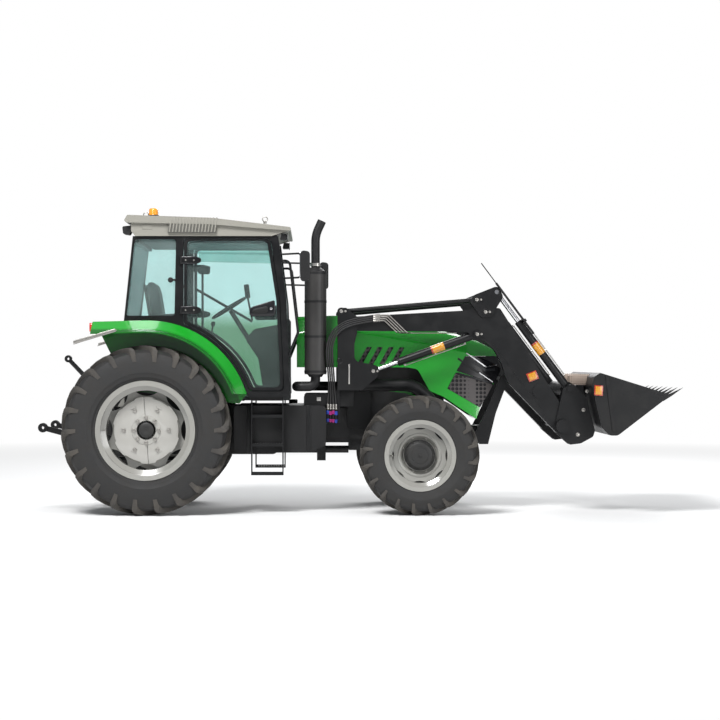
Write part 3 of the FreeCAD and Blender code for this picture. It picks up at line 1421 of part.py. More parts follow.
def loader_braces():
    """The bent tubes that run from the towers forward and down to the bolster."""
    made = []
    for side in ("-1", "1"):
        y = side + " * brace_y"
        low = side + " * brace_foot_y"
        brace = doc.addObject("Part::Feature", "Brace")
        brace.Shape = tube([at("50", y, "1240"), at("560", y, "1240"), at("760", y, "1080"),
                            at("800", low, "brace_foot_z")], [200, 200],
                           number("brace_radius"))
        foot = box("BraceFoot", "700", side + " * brace_foot_y - brace_foot_y + bolster_half_width",
                   "bolster_low_z + 5", "210", "2 * (brace_foot_y - bolster_half_width)", "38")
        made += [brace, foot]
    return made


def front_guard():
    """Two bent struts with cross bars that shield the nose."""
    body = new_body("GuardFrame")
    strut = side_view(body, "-guard_y", "guard_width",
                      [("1222", "bolster_low_z"), ("1180", "764", 30), ("1300", "1000", 300),
                       ("1440", "1340", 20), ("1520", "1320", 20), ("1385", "960", 300),
                       ("1310", "bolster_low_z")])
    both_sides(body, [strut])
    front_view(body, "1480", "60", [("-guard_y", "1280"), ("guard_y", "1280"),
                                    ("guard_y", "1320"), ("-guard_y", "1320")])
    front_view(body, "1270", "60", [("-guard_y", "bolster_low_z"), ("guard_y", "bolster_low_z"),
                                    ("guard_y", "bolster_top_z - 20"),
                                    ("-guard_y", "bolster_top_z - 20")])
    keep(less("GuardTrimmed", body, doc.getObject("front_frame")), "front_guard")


def boom_arms():
    """Both arms with their knees, the cross tube and the lift cylinders' clevises."""
    body = new_body("boom_arms")
    drop = "pivot_z - boom_rear_radius - 8"
    arm = side_view(body, "-arm_y", "arm_width",
                    [("pivot_x - boom_rear_radius", "pivot_z + boom_rear_radius", 60),
                     ("1063", "1964", 200), ("crank_x - 40", "crank_z + 56", 60),
                     ("knee_top_x", "knee_top_z", 30), ("1940", "1132", 400),
                     ("hinge_x + 82", "hinge_z + 70", 50), ("hinge_x + 72", "hinge_z - 72", 60),
                     ("hinge_x - 40", "hinge_z - 78", 50), ("1471", "1269", 100),
                     ("1415", "1448", 150), ("1344", "1578", 150),
                     ("lift_head_x + 62", "lift_head_z - 58", 45),
                     ("lift_head_x - 40", "lift_head_z - 62", 45), ("1090", "1757", 60),
                     ("0", drop), ("pivot_x - boom_rear_radius", drop, 60)])
    tube_pad = side_disc(body, "0", "2 * arm_y + arm_width + 16", "cross_tube_x",
                         "cross_tube_z", "cross_tube_radius")
    doc.recompute()
    inside = "arm_width - 2 * arm_wall"
    clevis = side_disc(body, "-arm_y", inside, "lift_head_x", "lift_head_z",
                       "eye_radius + 14", "Pocket")
    mouth = side_view(body, "-arm_y", inside,
                      [("lift_head_x + 20", "lift_head_z - 54"),
                       ("lift_head_x - 18", "lift_head_z + 52"),
                       ("lift_head_x - 300", "lift_head_z + 20"),
                       ("lift_head_x - 300", "lift_head_z - 300"),
                       ("lift_head_x + 20", "lift_head_z - 300")], "Pocket")
    channel = side_view(body, "-arm_y", inside,
                        [("channel_top_x", "channel_top_z"), ("channel_low_x", "channel_low_z"),
                         ("channel_low_x + channel_rise_x", "channel_low_z + channel_rise_z"),
                         ("channel_top_x + channel_rise_x", "channel_top_z + channel_rise_z")],
                        "Pocket")
    holes = [bore(body, "pivot_x", "pivot_z", "main_pin_radius"),
             bore(body, "crank_x", "crank_z", "main_pin_radius"),
             bore(body, "hinge_x", "hinge_z", "main_pin_radius")]
    pin = arm_pin(body, "lift_head_x", "lift_head_z", "small_pin_radius", "arm_width")
    both_sides(body, [arm, tube_pad, clevis, mouth, channel] + holes + [pin])
    keep(body, "boom_arms")


def bell_cranks():
    """Twin triangular plates that hold the levelling rod and the tilt cylinder."""
    body = new_body("bell_cranks")
    d_x = "crank_x + rod_offset_x"
    d_z = "crank_z + rod_offset_z"
    made = fork_plates(body, [(d_x + " - 75", d_z + " - 10", 40),
                              (d_x + " - 10", d_z + " + 52", 40),
                              ("crank_eye_x + 10", "crank_eye_z + 62", 45),
                              ("crank_eye_x + 62", "crank_eye_z - 45", 45),
                              ("crank_x + 60", "crank_z - 40", 45),
                              ("crank_x - 40", "crank_z - 55", 45)])
    doc.recompute()
    holes = []
    for centre in (outer_fork, inner_fork):
        holes.append(side_disc(body, centre, "2 * fork_plate", "crank_eye_x", "crank_eye_z",
                               "small_pin_radius + 2", "Pocket"))
    pins = [arm_pin(body, "crank_x", "crank_z", "main_pin_radius"),
            arm_pin(body, d_x, d_z, "small_pin_radius")]
    both_sides(body, made + holes + pins)
    keep(body, "bell_cranks")


def level_rods():
    """The levelling rods, from the towers' tops to the bell cranks."""
    made = []
    for side in ("-1", "1"):
        body = new_body("LevelRod")
        run = at("crank_x", "0", "crank_z") - at("pivot_x", "0", "pivot_z")
        sketch = add_circle(new_sketch(body, "YZ_Plane", "%.6f / 2" % run.Length), "0", "0",
                            "level_rod_radius")
        extrude(body, sketch, "%.6f - 40" % run.Length)
        for x in ("0", "%.6f" % run.Length):
            side_disc(body, "0", "eye_width", x, "0", "level_eye_radius")
        doc.recompute()
        for x in ("0", "%.6f" % run.Length):
            side_disc(body, "0", "2 * eye_width", x, "0",
                      "small_pin_radius + pin_clearance", "Pocket")
            doc.recompute()
        made.append(lay_along(body, ("pivot_x + rod_offset_x", "pivot_z + rod_offset_z"),
                              run, side))
    keep(grouped(made), "level_rods")


def lay_along(body, start, run, side):
    """Place a body that is modelled along +X so that it runs along a direction."""
    tilt = math.degrees(math.atan2(run.z, run.x))
    body.Placement = Placement(Vector(0, 0, 0), Rotation(Vector(0, 1, 0), -tilt))
    return put(body, start[0], side + " * arm_y", start[1])


def turned_along(body, profile):
    """Revolve a profile of (x, radius) corners round the body's own X axis."""
    sketch = add_outline(new_sketch(body, "XZ_Plane", "0"), profile)
    feature = body.newObject("PartDesign::Revolution", "Turned")
    feature.Profile = sketch
    feature.ReferenceAxis = (sketch, ["H_Axis"])
    feature.Angle = 360
    sketch.Visibility = False
    body.Tip = feature
    return feature


def cylinder_barrels(name, head, foot, length):
    """Barrels with an eye at head, open at the gland end that faces foot."""
    run = at(foot[0], "0", foot[1]) - at(head[0], "0", head[1])
    made = []
    for side in ("-1", "1"):
        body = new_body("Barrel")
        gland = "piston_rod_radius + piston_gap"
        turned_along(body, [("barrel_start", "0"), ("barrel_start", "barrel_radius", 6),
                            (length, "barrel_radius", 4), (length, gland),
                            (length + " - gland_length", gland),
                            (length + " - gland_length", "bore_radius"),
                            ("barrel_start + barrel_cap", "bore_radius"),
                            ("barrel_start + barrel_cap", "0")])
        side_view(body, "0", "eye_width",
                         [("0", "-eye_radius + 8"), ("barrel_start + 10", "-eye_radius + 8"),
                          ("barrel_start + 10", "eye_radius - 8"), ("0", "eye_radius - 8")])
        side_disc(body, "0", "eye_width", "0", "0", "eye_radius")
        doc.recompute()
        side_disc(body, "0", "2 * eye_width", "0", "0", "small_pin_radius + pin_clearance",
                  "Pocket")
        made.append(lay_along(body, head, run, side))
    keep(grouped(made), name)


def piston_rods(name, foot, head, length):
    """Rods with their pistons, and the eye and short pin that face the open joint."""
    run = at(head[0], "0", head[1]) - at(foot[0], "0", foot[1])
    made = []
    for side in ("-1", "1"):
        body = new_body("PistonRod")
        piston = "bore_radius - piston_gap"
        turned_along(body, [("20", "0"), ("20", "piston_rod_radius"),
                            (length + " - piston_length", "piston_rod_radius"),
                            (length + " - piston_length", piston), (length, piston),
                            (length, "0")])
        side_disc(body, "0", "eye_width", "0", "0", "eye_radius - 6")
        side_disc(body, "0", "arm_width - 20", "0", "0", "small_pin_radius")
        made.append(lay_along(body, foot, run, side))
    keep(grouped(made), name)


def level_indicator():
    """A sight rod beside the right tilt cylinder, held by a block on its barrel."""
    body = new_body("Indicator")
    foot = "-barrel_radius - 0.3"
    side_view(body, "-(indicator_reach - 4) / 2", "indicator_reach + 12",
              [("indicator_block_x", foot), ("indicator_block_x", foot + " - 26"),
               ("indicator_block_x + 30", foot + " - 26"), ("indicator_block_x + 30", foot)])
    for low, high, radius in (("indicator_low_x", "indicator_tube_end", "11"),
                              ("indicator_tube_end - 5", "indicator_rod_end", "5")):
        sketch = new_sketch(body, "YZ_Plane", "(%s + %s) / 2" % (low, high))
        add_circle(sketch, "-indicator_reach", "-indicator_lift", radius)
        extrude(body, sketch, "%s - (%s)" % (high, low))
    run = at("crank_eye_x", "0", "crank_eye_z") - at("tilt_head_x", "0", "tilt_head_z")
    keep(lay_along(body, ("tilt_head_x", "tilt_head_z"), run, "-1"), "level_indicator")


def beside(path, shift):
    """A path that runs next to another one, shift apart in the side view."""
    made = []
    for index, point in enumerate(path):
        into = point - path[index - 1] if index else path[1] - path[0]
        out = path[index + 1] - point if index + 1 < len(path) else into
        first = Vector(-into.z, 0, into.x).normalize()
        second = Vector(-out.z, 0, out.x).normalize()
        across = (first + second).normalize()
        made.append(point + across * (shift / across.dot(first)))
    return made


def hose_shift(index):
    """How far one of the bundled hoses lies from the bundle's middle line."""
    return (index - (number("hose_count") - 1) / 2) * number("hose_pitch")


def hose(path, radius):
    """A round hose with the largest arcs its runs allow."""
    radii = own_radii(path)
    print("hose radius %.1f  bend radii %s" % (radius, [round(r) for r in radii]))
    return tube(path, radii, radius)


def tower_hoses():
    """Four hoses that rise behind the right tower and cross it beside the pivot."""
    shapes = []
    for index in range(int(number("hose_count"))):
        shift = hose_shift(index)
        root = number("coupler_x - (%d - (hose_count - 1) / 2) * coupler_pitch" % index)
        low = [Vector(root, -number("hose_root_y"), number("coupler_top_z + 0.3")),
               Vector(root, -number("hose_root_y"), number("coupler_top_z + 70"))]
        high = beside([at("-231", "-hose_root_y", "1200"), at("-240", "-574", "1350"),
                       at("-254", "-hose_y", "1490"), at("-256", "-hose_y", "1640"),
                       at("-200", "-hose_y", "1762"), at("-110", "-hose_y", "1826"),
                       at("pivot_x", "-hose_y", "1842")], shift)
        shapes.append(hose(low + high, number("hose_radius")))
    as_sub_part("tower_hoses", shapes)


def boom_hoses():
    """The hoses' second halves, from beside the pivot to the pipes on the arm."""
    shapes = []
    for index in range(int(number("hose_count"))):
        path = beside([at("pivot_x + 1", "-hose_y", "1842.3"), at("59", "-hose_y", "1876"),
                       at("pipe_start_x - 0.3", "-hose_y", "1892")], hose_shift(index))
        shapes.append(hose(path, number("hose_radius")))
    as_sub_part("boom_hoses", shapes)


def boom_pipes():
    """Steel pipes that carry on from the hoses, down the arm's face and under it."""
    shapes = []
    count = int(number("hose_count"))
    for index in range(count):
        shift = hose_shift(index)
        across = number("arm_y - arm_width / 2 + 20 + %d * 20" % index)
        start = at("pipe_start_x + 4", "-hose_y", "1892") + Vector(0, 0, shift)
        step = start + Vector(60 + index * 14, 0, 0)
        low = number("pipe_low_z")
        fall = Vector(step.x + (step.z - low), -number("hose_y"), low + 4)
        under = Vector(fall.x + 40, -across, low)
        end = Vector(number("pipe_end_x"), -across, low)
        path = [start, step, fall, under, end]
        radii = [30, 25, 25]
        shapes.append(tube(path, radii, number("pipe_radius")))
    as_sub_part("boom_pipes", shapes)


def couplers():
    """Hydraulic couplers on a plate under the right tower."""
    plate = box("CouplerPlate", "coupler_x - 42", "-coupler_plate_y - 5", "coupler_low_z - 20",
                "120", "10", "tower_low_z - 0.3 - coupler_low_z + 20")
    clip = box("CouplerClip", "coupler_x - 42", "-hose_root_y", "coupler_low_z + 30",
               "96", "hose_root_y - coupler_plate_y", "50")
    parts = [plate, clip]
    for index in range(int(number("hose_count"))):
        x = "coupler_x - (%d - (hose_count - 1) / 2) * coupler_pitch" % index
        parts.append(rod("Coupler", x, "-hose_root_y", "coupler_low_z", "coupler_radius",
                         "coupler_top_z - coupler_low_z"))
    keep(fused("CouplersWhole", parts), "couplers")


def cross_shaft(name, x, z, radius, shaft_radius, collar_radius, collar_width):
    """A shaft between the inner forks, with a pin at each end through arm and forks."""
    body = new_body(name)
    pin = side_disc(body, "-arm_y", fork_span + " + 2 * fork_gap", x, z, radius)
    start = "arm_y + (%s) / 2 + fork_gap" % fork_span
    collar = side_disc(body, "-(%s + (%s) / 2)" % (start, collar_width), collar_width, x, z,
                       collar_radius)
    both_sides(body, [pin, collar])
    side_disc(body, "0", "2 * (arm_y - arm_width / 2 - 2 * fork_gap - fork_plate)", x, z,
              shaft_radius)
    keep(body, name)


def hitch_frame():
    """The carrier that the arms and tilt cylinders hold, with its cross members."""
    body = new_body("hitch_frame")
    made = fork_plates(body, [("hinge_x - 62", "hinge_z + 30", 50),
                              ("tilt_head_x - 60", "tilt_head_z + 10", 50),
                              ("tilt_head_x + 30", "tilt_head_z + 62", 45),
                              ("2236", "1120", 60), ("2262", "1000"), ("2318", "800"),
                              ("2300", "740", 40), ("2180", "675", 60), ("2073", "662", 30),
                              ("hinge_x - 62", "hinge_z - 62", 50)])
    doc.recompute()
    holes = [bore(body, "hinge_x", "hinge_z", "main_pin_radius"),
             bore(body, "tilt_head_x", "tilt_head_z", "small_pin_radius")]
    both_sides(body, made + holes)
    inner = "2 * (arm_y - arm_width / 2 - fork_gap - fork_plate) + 4"
    side_view(body, "0", inner, [("2160", "1120", 20), ("2160", "1236", 20),
                                 ("2226", "1236", 20), ("2226", "1120", 20)])
    side_disc(body, "0", "2 * arm_y + %s" % fork_span, "2183", "723", "hitch_cross_radius")
    keep(body, "hitch_frame")


def bucket():
    body = new_body("BucketShell")
    side_view(body, "0", "2 * bucket_half_width",
              [("bucket_lip_x", "bucket_lip_z"), ("2266", "1322", 40), ("2248", "1240", 80),
               ("2280", "1080", 300), ("2335", "844", 100), ("2413", "762", 60),
               ("2492", "762", 60), ("2902", "1077"), ("bucket_edge_x", "bucket_edge_z")])
    doc.recompute()
    side_view(body, "0", "2 * (bucket_half_width - bucket_side_wall)",
              [("bucket_lip_x + 12", "bucket_lip_z + 40"), ("bucket_lip_x + 2", "1346"),
               ("2277", "1316", 30), ("2258", "1240", 70), ("2290", "1083", 300),
               ("2345", "848", 90), ("2417", "772", 50), ("2489", "772", 50),
               ("2896", "1086"), ("2996", "1162"), ("3040", "1300")], "Pocket")
    doc.recompute()
    tooth = side_view(body, "-(bucket_half_width - 40)", "tooth_width",
                      [("2930", "1090"), ("2925", "1108"), ("2990", "1160"),
                       ("tooth_tip_x", "tooth_tip_z"), ("3010", "1140")])
    row = body.newObject("PartDesign::LinearPattern", "TeethRow")
    row.Originals = [tooth]
    row.Direction = (origin_of(body, "Y_Axis"), [""])
    row.setExpression("Length", link("2 * (bucket_half_width - 40)"))
    row.setExpression("Occurrences", link("tooth_count"))
    body.Tip = row
    rib = side_view(body, "-(bucket_half_width + rib_proud / 2 - 1)", "rib_proud + 2",
                    [("2372", "1330"), ("2372 + rib_width", "1330"),
                     ("2440 + rib_width", "800"), ("2440", "800")])
    both_sides(body, [rib])
    trimmed = less("BucketTrimmed", body, doc.getObject("hitch_frame"))
    keep(trimmed, "bucket")


def build_loader():
    keep(fused("LoaderFrame", [loader_towers()] + loader_braces()), "loader_towers")
    front_guard()
    boom_arms()
    bell_cranks()
    level_rods()
    lift_foot = ("lift_foot_x", "lift_foot_z")
    lift_head = ("lift_head_x", "lift_head_z")
    crank_eye = ("crank_eye_x", "crank_eye_z")
    tilt_head = ("tilt_head_x", "tilt_head_z")
    cylinder_barrels("lift_barrels", lift_head, lift_foot, "lift_barrel_length")
    piston_rods("lift_rods", lift_foot, lift_head, "lift_rod_length")
    cylinder_barrels("tilt_barrels", tilt_head, crank_eye, "tilt_barrel_length")
    piston_rods("tilt_rods", crank_eye, tilt_head, "tilt_rod_length")
    cross_shaft("hitch_pins", "hinge_x", "hinge_z", "main_pin_radius", "hinge_shaft_radius",
                "hinge_collar_radius", "hinge_collar_width")
    cross_shaft("tilt_pins", "tilt_head_x", "tilt_head_z", "small_pin_radius",
                "tilt_shaft_radius", "main_pin_radius", "fork_plate")
    hitch_frame()
    bucket()
    level_indicator()
    tower_hoses()
    boom_hoses()
    boom_pipes()
    couplers()


# ---------------------------------------------------------------- writing out

def check_objects():
    """Stop if anything failed to build."""
    for made in doc.Objects:
        failed = [state for state in made.State if state in ("Invalid", "Error")]
        if failed:
            raise RuntimeError("%s (%s) failed: %s" % (made.Name, made.Label, made.State))
    for part in sub_parts:
        if part.Shape.isNull() or not part.Shape.isValid() or not part.Shape.Solids:
            raise RuntimeError("%s has no sound solid" % part.Label)


def write_parts():
    os.makedirs("parts", exist_ok=True)
    for part in sub_parts:
        part.Shape.exportStep("parts/%s.step" % part.Label)


build_wheels()
build_chassis()
build_cab()
build_hood()
build_fittings()
build_loader()
doc.recompute()
check_objects()
write_parts()
for part in sub_parts:
    box_of = part.Shape.BoundBox
    print("%-22s solids %d  x %.0f..%.0f  y %.0f..%.0f  z %.0f..%.0f" % (
        part.Label, len(part.Shape.Solids), box_of.XMin, box_of.XMax,
        box_of.YMin, box_of.YMax, box_of.ZMin, box_of.ZMax))
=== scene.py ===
"""Tractor with a front loader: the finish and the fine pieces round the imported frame."""

import math

import bpy
from bpy.props import FloatProperty, FloatVectorProperty, IntProperty, PointerProperty
from mathutils import Matrix, Vector


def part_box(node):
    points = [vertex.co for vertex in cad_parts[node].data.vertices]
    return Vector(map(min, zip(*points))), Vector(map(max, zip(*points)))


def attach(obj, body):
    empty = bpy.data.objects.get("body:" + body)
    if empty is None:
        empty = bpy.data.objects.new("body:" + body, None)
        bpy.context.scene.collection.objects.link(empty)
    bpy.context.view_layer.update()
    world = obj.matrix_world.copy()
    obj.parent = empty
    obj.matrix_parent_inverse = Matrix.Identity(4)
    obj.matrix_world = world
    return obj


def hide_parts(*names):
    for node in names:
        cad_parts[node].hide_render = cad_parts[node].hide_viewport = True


bl_info = {
    "name": "Loader Tractor",
    "version": (1, 0, 0),
    "blender": (4, 5, 0),
    "location": "View3D > Sidebar > Loader Tractor",
    "description": "Builds the visible pieces of a farm tractor with a front loader",
    "category": "Object",
}

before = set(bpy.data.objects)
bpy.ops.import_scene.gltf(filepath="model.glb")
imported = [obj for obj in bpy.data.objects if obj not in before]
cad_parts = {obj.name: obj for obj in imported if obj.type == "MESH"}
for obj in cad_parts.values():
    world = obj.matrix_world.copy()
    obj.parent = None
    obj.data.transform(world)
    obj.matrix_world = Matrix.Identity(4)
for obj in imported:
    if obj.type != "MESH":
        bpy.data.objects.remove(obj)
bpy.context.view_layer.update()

FULL_TURN = 2 * math.pi
SIDES = (("right", -1), ("left", 1))
SPIN = (0, 1, 0)
UPRIGHT = (0, 0, 1)

# Places in the side view and planes across the machine, in millimetres.
REAR_HUB = (-2009, 812)
FRONT_HUB = (606, 572)
PIN_PLANE = 638.3
BARREL_PLANE = 570


# ---------------------------------------------------------------- sizes and colours

class PaintSettings(bpy.types.PropertyGroup):
    body_green: FloatVectorProperty(
        name="Body green", description="Gloss paint of the hood and fenders",
        subtype="COLOR", default=(0.009, 0.29, 0.018), min=0, max=1)
    loader_black: FloatVectorProperty(
        name="Loader black", description="Satin paint of the loader, cab frame and chassis",
        subtype="COLOR", default=(0.0048, 0.0050, 0.0056), min=0, max=1)
    rim_silver: FloatVectorProperty(
        name="Rim silver", description="Paint of the wheel rims",
        subtype="COLOR", default=(0.26, 0.257, 0.236), min=0, max=1)
    roof_grey: FloatVectorProperty(
        name="Roof grey", description="Moulded shell of the roof",
        subtype="COLOR", default=(0.25, 0.242, 0.212), min=0, max=1)
    glass_tint: FloatVectorProperty(
        name="Glass tint", description="Tint of the cab's windows",
        subtype="COLOR", default=(0.87, 0.98, 0.975), min=0, max=1)
    tread_dust: FloatProperty(
        name="Tread dust", description="How much dry earth lies on the tread",
        subtype="FACTOR", default=0.26, min=0, max=1)


class TyreSettings(bpy.types.PropertyGroup):
    rear_lugs: IntProperty(
        name="Rear lugs", description="Lugs on each side of a rear tyre", default=22, min=8)
    front_lugs: IntProperty(
        name="Front lugs", description="Lugs on each side of a front tyre", default=20, min=8)
    lug_height: FloatProperty(
        name="Lug height", description="Height of the lugs over the casing",
        subtype="DISTANCE", unit="LENGTH", default=0.036, min=0.01)


class StageSettings(bpy.types.PropertyGroup):
    lens: FloatProperty(
        name="Lens", description="Focal length of the camera", subtype="DISTANCE_CAMERA",
        default=91.65, min=10)
    key_power: FloatProperty(
        name="Key light", description="Power of the large lamp in front",
        subtype="POWER", default=1900, min=0)
    sky_strength: FloatProperty(
        name="Sky", description="Strength of the light from all round", default=0.30, min=0)


# ---------------------------------------------------------------- shader writing

class Wire:
    """A shader socket that can be used in Python sums."""

    def __init__(self, paint, socket):
        self.paint = paint
        self.socket = socket

    def sum(self, operation, other, turned=False):
        first, second = (other, self) if turned else (self, other)
        return self.paint.node("ShaderNodeMath", {"operation": operation}, {0: first, 1: second})

    def __add__(self, other):
        return self.sum("ADD", other)

    __radd__ = __add__

    def __mul__(self, other):
        return self.sum("MULTIPLY", other)

    __rmul__ = __mul__

    def __sub__(self, other):
        return self.sum("SUBTRACT", other)

    def __rsub__(self, other):
        return self.sum("SUBTRACT", other, turned=True)

    def __truediv__(self, other):
        return self.sum("DIVIDE", other)

    def __pow__(self, other):
        return self.sum("POWER", other)

    def clamped(self):
        return self.paint.node("ShaderNodeClamp", {}, {"Value": self})


class Paint:
    """A material that is written as sums of sockets."""

    def __init__(self, name):
        self.material = bpy.data.materials.new(name)
        self.material.use_nodes = True
        self.nodes = self.material.node_tree.nodes
        self.links = self.material.node_tree.links
        self.shader = self.nodes["Principled BSDF"]
        self.place = self.node("ShaderNodeTexCoord", {}, {}, "Object")

    def node(self, kind, settings, values, output=0):
        made = self.nodes.new(kind)
        for key, value in settings.items():
            if key == "stops":
                self.set_stops(made.color_ramp, value)
            else:
                setattr(made, key, value)
        for key, value in values.items():
            self.join(made.inputs[key], value)
        return Wire(self, made.outputs[output])

    def set_stops(self, ramp, stops):
        while len(ramp.elements) < len(stops):
            ramp.elements.new(0.5)
        for element, (position, value) in zip(ramp.elements, stops):
            element.position = position
            element.color = (value, value, value, 1) if isinstance(value, float) else (*value, 1)

    def join(self, socket, value):
        if isinstance(value, Wire):
            self.links.new(value.socket, socket)
        elif hasattr(value, "__len__") and len(value) == 3 and socket.type == "RGBA":
            socket.default_value = (*value, 1)
        else:
            socket.default_value = value

    def set(self, **values):
        for key, value in values.items():
            self.join(self.shader.inputs[key.replace("_", " ")], value)
        return self

    def noise(self, scale, detail, roughness=0.55):
        return self.node("ShaderNodeTexNoise", {}, {
            "Vector": self.place, "Scale": scale, "Detail": detail, "Roughness": roughness},
            "Fac")

    def ramp(self, value, *stops):
        return self.node("ShaderNodeValToRGB", {"stops": stops}, {"Fac": value})

    def mix(self, factor, first, second):
        return self.node("ShaderNodeMix", {"data_type": "RGBA"},
                         {0: factor, 6: first, 7: second}, 2)

    def axis(self, letter):
        return self.node("ShaderNodeSeparateXYZ", {}, {0: self.place}, letter)

    def facing_up(self):
        normal = self.node("ShaderNodeNewGeometry", {}, {}, "Normal")
        return self.node("ShaderNodeSeparateXYZ", {}, {0: normal}, "Z")

    def bump(self, height, strength, distance):
        normal = self.node("ShaderNodeBump", {}, {
            "Height": height, "Strength": strength, "Distance": distance})
        return self.set(Normal=normal)


EARTH = (0.16, 0.14, 0.115)


def gloss_paint(name, colour, dust=0.08, shade_arch=None):
    """Sprayed gloss enamel with a faint orange peel and a film of dust low down.
    The arch (x, z, radius) darkens what lies inside it: painted shade, standing in for the shade
    of a pressed recess."""
    p = Paint(name)
    peel = p.noise(160, 2)
    film = p.ramp(p.noise(5, 6, 0.7), (0.42, 0.0), (0.72, 1.0))
    low = (1.1 - p.axis("Z") * 0.7).clamped()
    tone = p.mix(p.ramp(p.noise(2.2, 3), (0.3, 0.0), (0.7, 1.0)), colour,
                 [c * 1.06 + 0.001 for c in colour])
    # Painted shade: within the arch's radius of its centre, and behind that centre at the same
    # heights, the paint darkens towards 0.16 of its colour.
    if shade_arch:
        x, z, radius = shade_arch
        ahead = (p.axis("X") - x).clamped()
        away = (ahead * ahead + (p.axis("Z") - z) ** 2) ** 0.5
        tone = p.mix(((radius - away) * 40).clamped() * 0.72, tone,
                     [c * 0.16 for c in colour])
    p.set(Base_Color=p.mix(film * low * dust * 0.6, tone, EARTH),
          Roughness=0.18 + film * 0.06)
    p.set(Coat_Weight=0.8, Coat_Roughness=0.05)
    return p.bump(peel, 0.02, 0.0006).material


def satin_paint(name, colour, dust=0.25, rough=0.38):
    """Powder-coated steel: fine grain, dust on what faces up, and scuffs."""
    p = Paint(name)
    grain = p.noise(420, 2)
    cloud = p.ramp(p.noise(7, 6, 0.65), (0.45, 0.0), (0.75, 1.0))
    up = (p.facing_up() * 0.8 + 0.15).clamped()
    scuff = p.ramp(p.noise(34, 8, 0.8), (0.64, 0.0), (0.70, 1.0))
    base = p.mix(cloud * up * dust, colour, (0.09, 0.083, 0.072))
    p.set(Base_Color=p.mix(scuff * 0.10, base, (0.05, 0.05, 0.05)),
          Roughness=rough + cloud * 0.22 + scuff * 0.1)
    p.set(Specular_IOR_Level=0.3)
    return p.bump(grain, 0.06, 0.0008).material


def cast_iron(name, colour):
    """Painted casting: pebbled skin with earth in its low places."""
    p = Paint(name)
    pebble = p.noise(95, 6, 0.7)
    patch = p.ramp(p.noise(6, 7, 0.7), (0.44, 0.0), (0.70, 1.0))
    p.set(Base_Color=p.mix(patch * 0.2, colour, (0.05, 0.045, 0.038)),
          Roughness=0.52 + patch * 0.3)
    return p.bump(pebble, 0.25, 0.003).material


def rubber(name, colour, dust):
    """Tyre rubber, with dry earth on it in patches that the tread rubs thin."""
    p = Paint(name)
    patch = p.ramp(p.noise(7, 8, 0.72), (0.40, 0.0), (0.68, 1.0))
    speck = p.ramp(p.noise(130, 5, 0.8), (0.52, 0.0), (0.66, 1.0))
    base = p.mix(patch * dust, colour, EARTH)
    p.set(Base_Color=p.mix(speck * dust * 0.35, base, (0.20, 0.18, 0.15)),
          Roughness=0.66 + patch * 0.22)
    return p.bump(p.noise(260, 3), 0.12, 0.0012).material


def moulded(name, colour, rough=0.5, grain=0.12):
    """Injection-moulded plastic with a fine leather grain."""
    p = Paint(name)
    cells = p.node("ShaderNodeTexVoronoi", {}, {"Vector": p.place, "Scale": 380.0}, "Distance")
    cloud = p.noise(6, 5)
    p.set(Base_Color=p.mix(cloud * 0.35, colour, [c * 0.72 + 0.004 for c in colour]),
          Roughness=rough + cloud * 0.12)
    p.set(Specular_IOR_Level=0.35)
    return p.bump(cells, grain, 0.0008).material


def steel(name, colour, rough, brushed=0.0):
    """Bare or plated metal with a light haze of handling marks."""
    p = Paint(name)
    marks = p.noise(70, 6, 0.75)
    p.set(Base_Color=p.mix(marks * 0.2, colour, [c * 0.6 for c in colour]),
          Roughness=rough + marks * 0.06)
    p.set(Metallic=1.0)
    return p.bump(p.noise(500, 2), brushed, 0.0004).material


def window_glass(name, tint, low=None, film=0.05):
    """Thin tinted safety glass: clear through, with a mirror sheen at a slant. Low down it may be
    darker: painted shade on the cab's inside seen through it.
    A faint pale film in patches is partly dust and partly a painted reflection that makes the
    glass milky."""
    p = Paint(name)
    p.nodes.remove(p.shader)
    sheen = p.node("ShaderNodeFresnel", {}, {"IOR": 1.45})
    clear = p.node("ShaderNodeBsdfTransparent", {}, {"Color": tint})
    # Painted shade: below 1.99 m a deeper tint darkens the view of the cab's inside.
    if low:
        deep = p.node("ShaderNodeBsdfTransparent", {}, {"Color": low})
        down = ((1.99 - p.axis("Z")) * 5).clamped()
        clear = p.node("ShaderNodeMixShader", {}, {0: down, 1: clear, 2: deep})
    gloss = p.node("ShaderNodeBsdfGlossy", {}, {"Color": (0.95, 1.0, 1.0), "Roughness": 0.03})
    # Pale diffuse film in noisy patches: dust, and a painted reflection of bright surroundings
    # that makes the glass milky.
    dust = p.node("ShaderNodeBsdfDiffuse", {}, {"Color": (0.62, 0.76, 0.74)})
    both = p.node("ShaderNodeMixShader", {}, {0: sheen, 1: clear, 2: gloss})
    both = p.node("ShaderNodeMixShader", {}, {0: p.noise(3, 4) * film * 2, 1: both, 2: dust})
    p.join(p.nodes["Material Output"].inputs["Surface"], both)
    return p.material


def lens(name, colour, glow=0.0):
    """Moulded lamp lens with fine flutes."""
    p = Paint(name)
    flutes = p.node("ShaderNodeTexWave", {"bands_direction": "Z"}, {
        "Vector": p.place, "Scale": 55.0, "Distortion": 0.0}, "Fac")
    p.set(Base_Color=p.mix(flutes * 0.3, colour, [c * 0.6 for c in colour]), Roughness=0.12)
    p.set(Coat_Weight=1.0, Coat_Roughness=0.04, Emission_Color=colour, Emission_Strength=glow)
    return p.bump(flutes, 0.35, 0.002).material


def perforated(name, colour, pitch, hole):
    """Sheet with rows of round holes, painted near-black as the shade seen through them."""
    p = Paint(name)
    rows = p.node("ShaderNodeTexVoronoi", {}, {
        "Vector": p.place, "Scale": 1 / pitch, "Randomness": 0.0}, "Distance")
    solid = p.ramp(rows, (hole, 0.0), (hole + 0.03, 1.0))
    cloud = p.noise(9, 5, 0.7)
    # Painted shade: the holes are coloured near-black instead of showing what lies behind them.
    p.set(Base_Color=p.mix(solid, (0.003, 0.003, 0.004), p.mix(cloud * 0.12, colour, EARTH)),
          Roughness=0.8 - solid * 0.3)
    return p.bump(solid, 0.5, 0.002).material


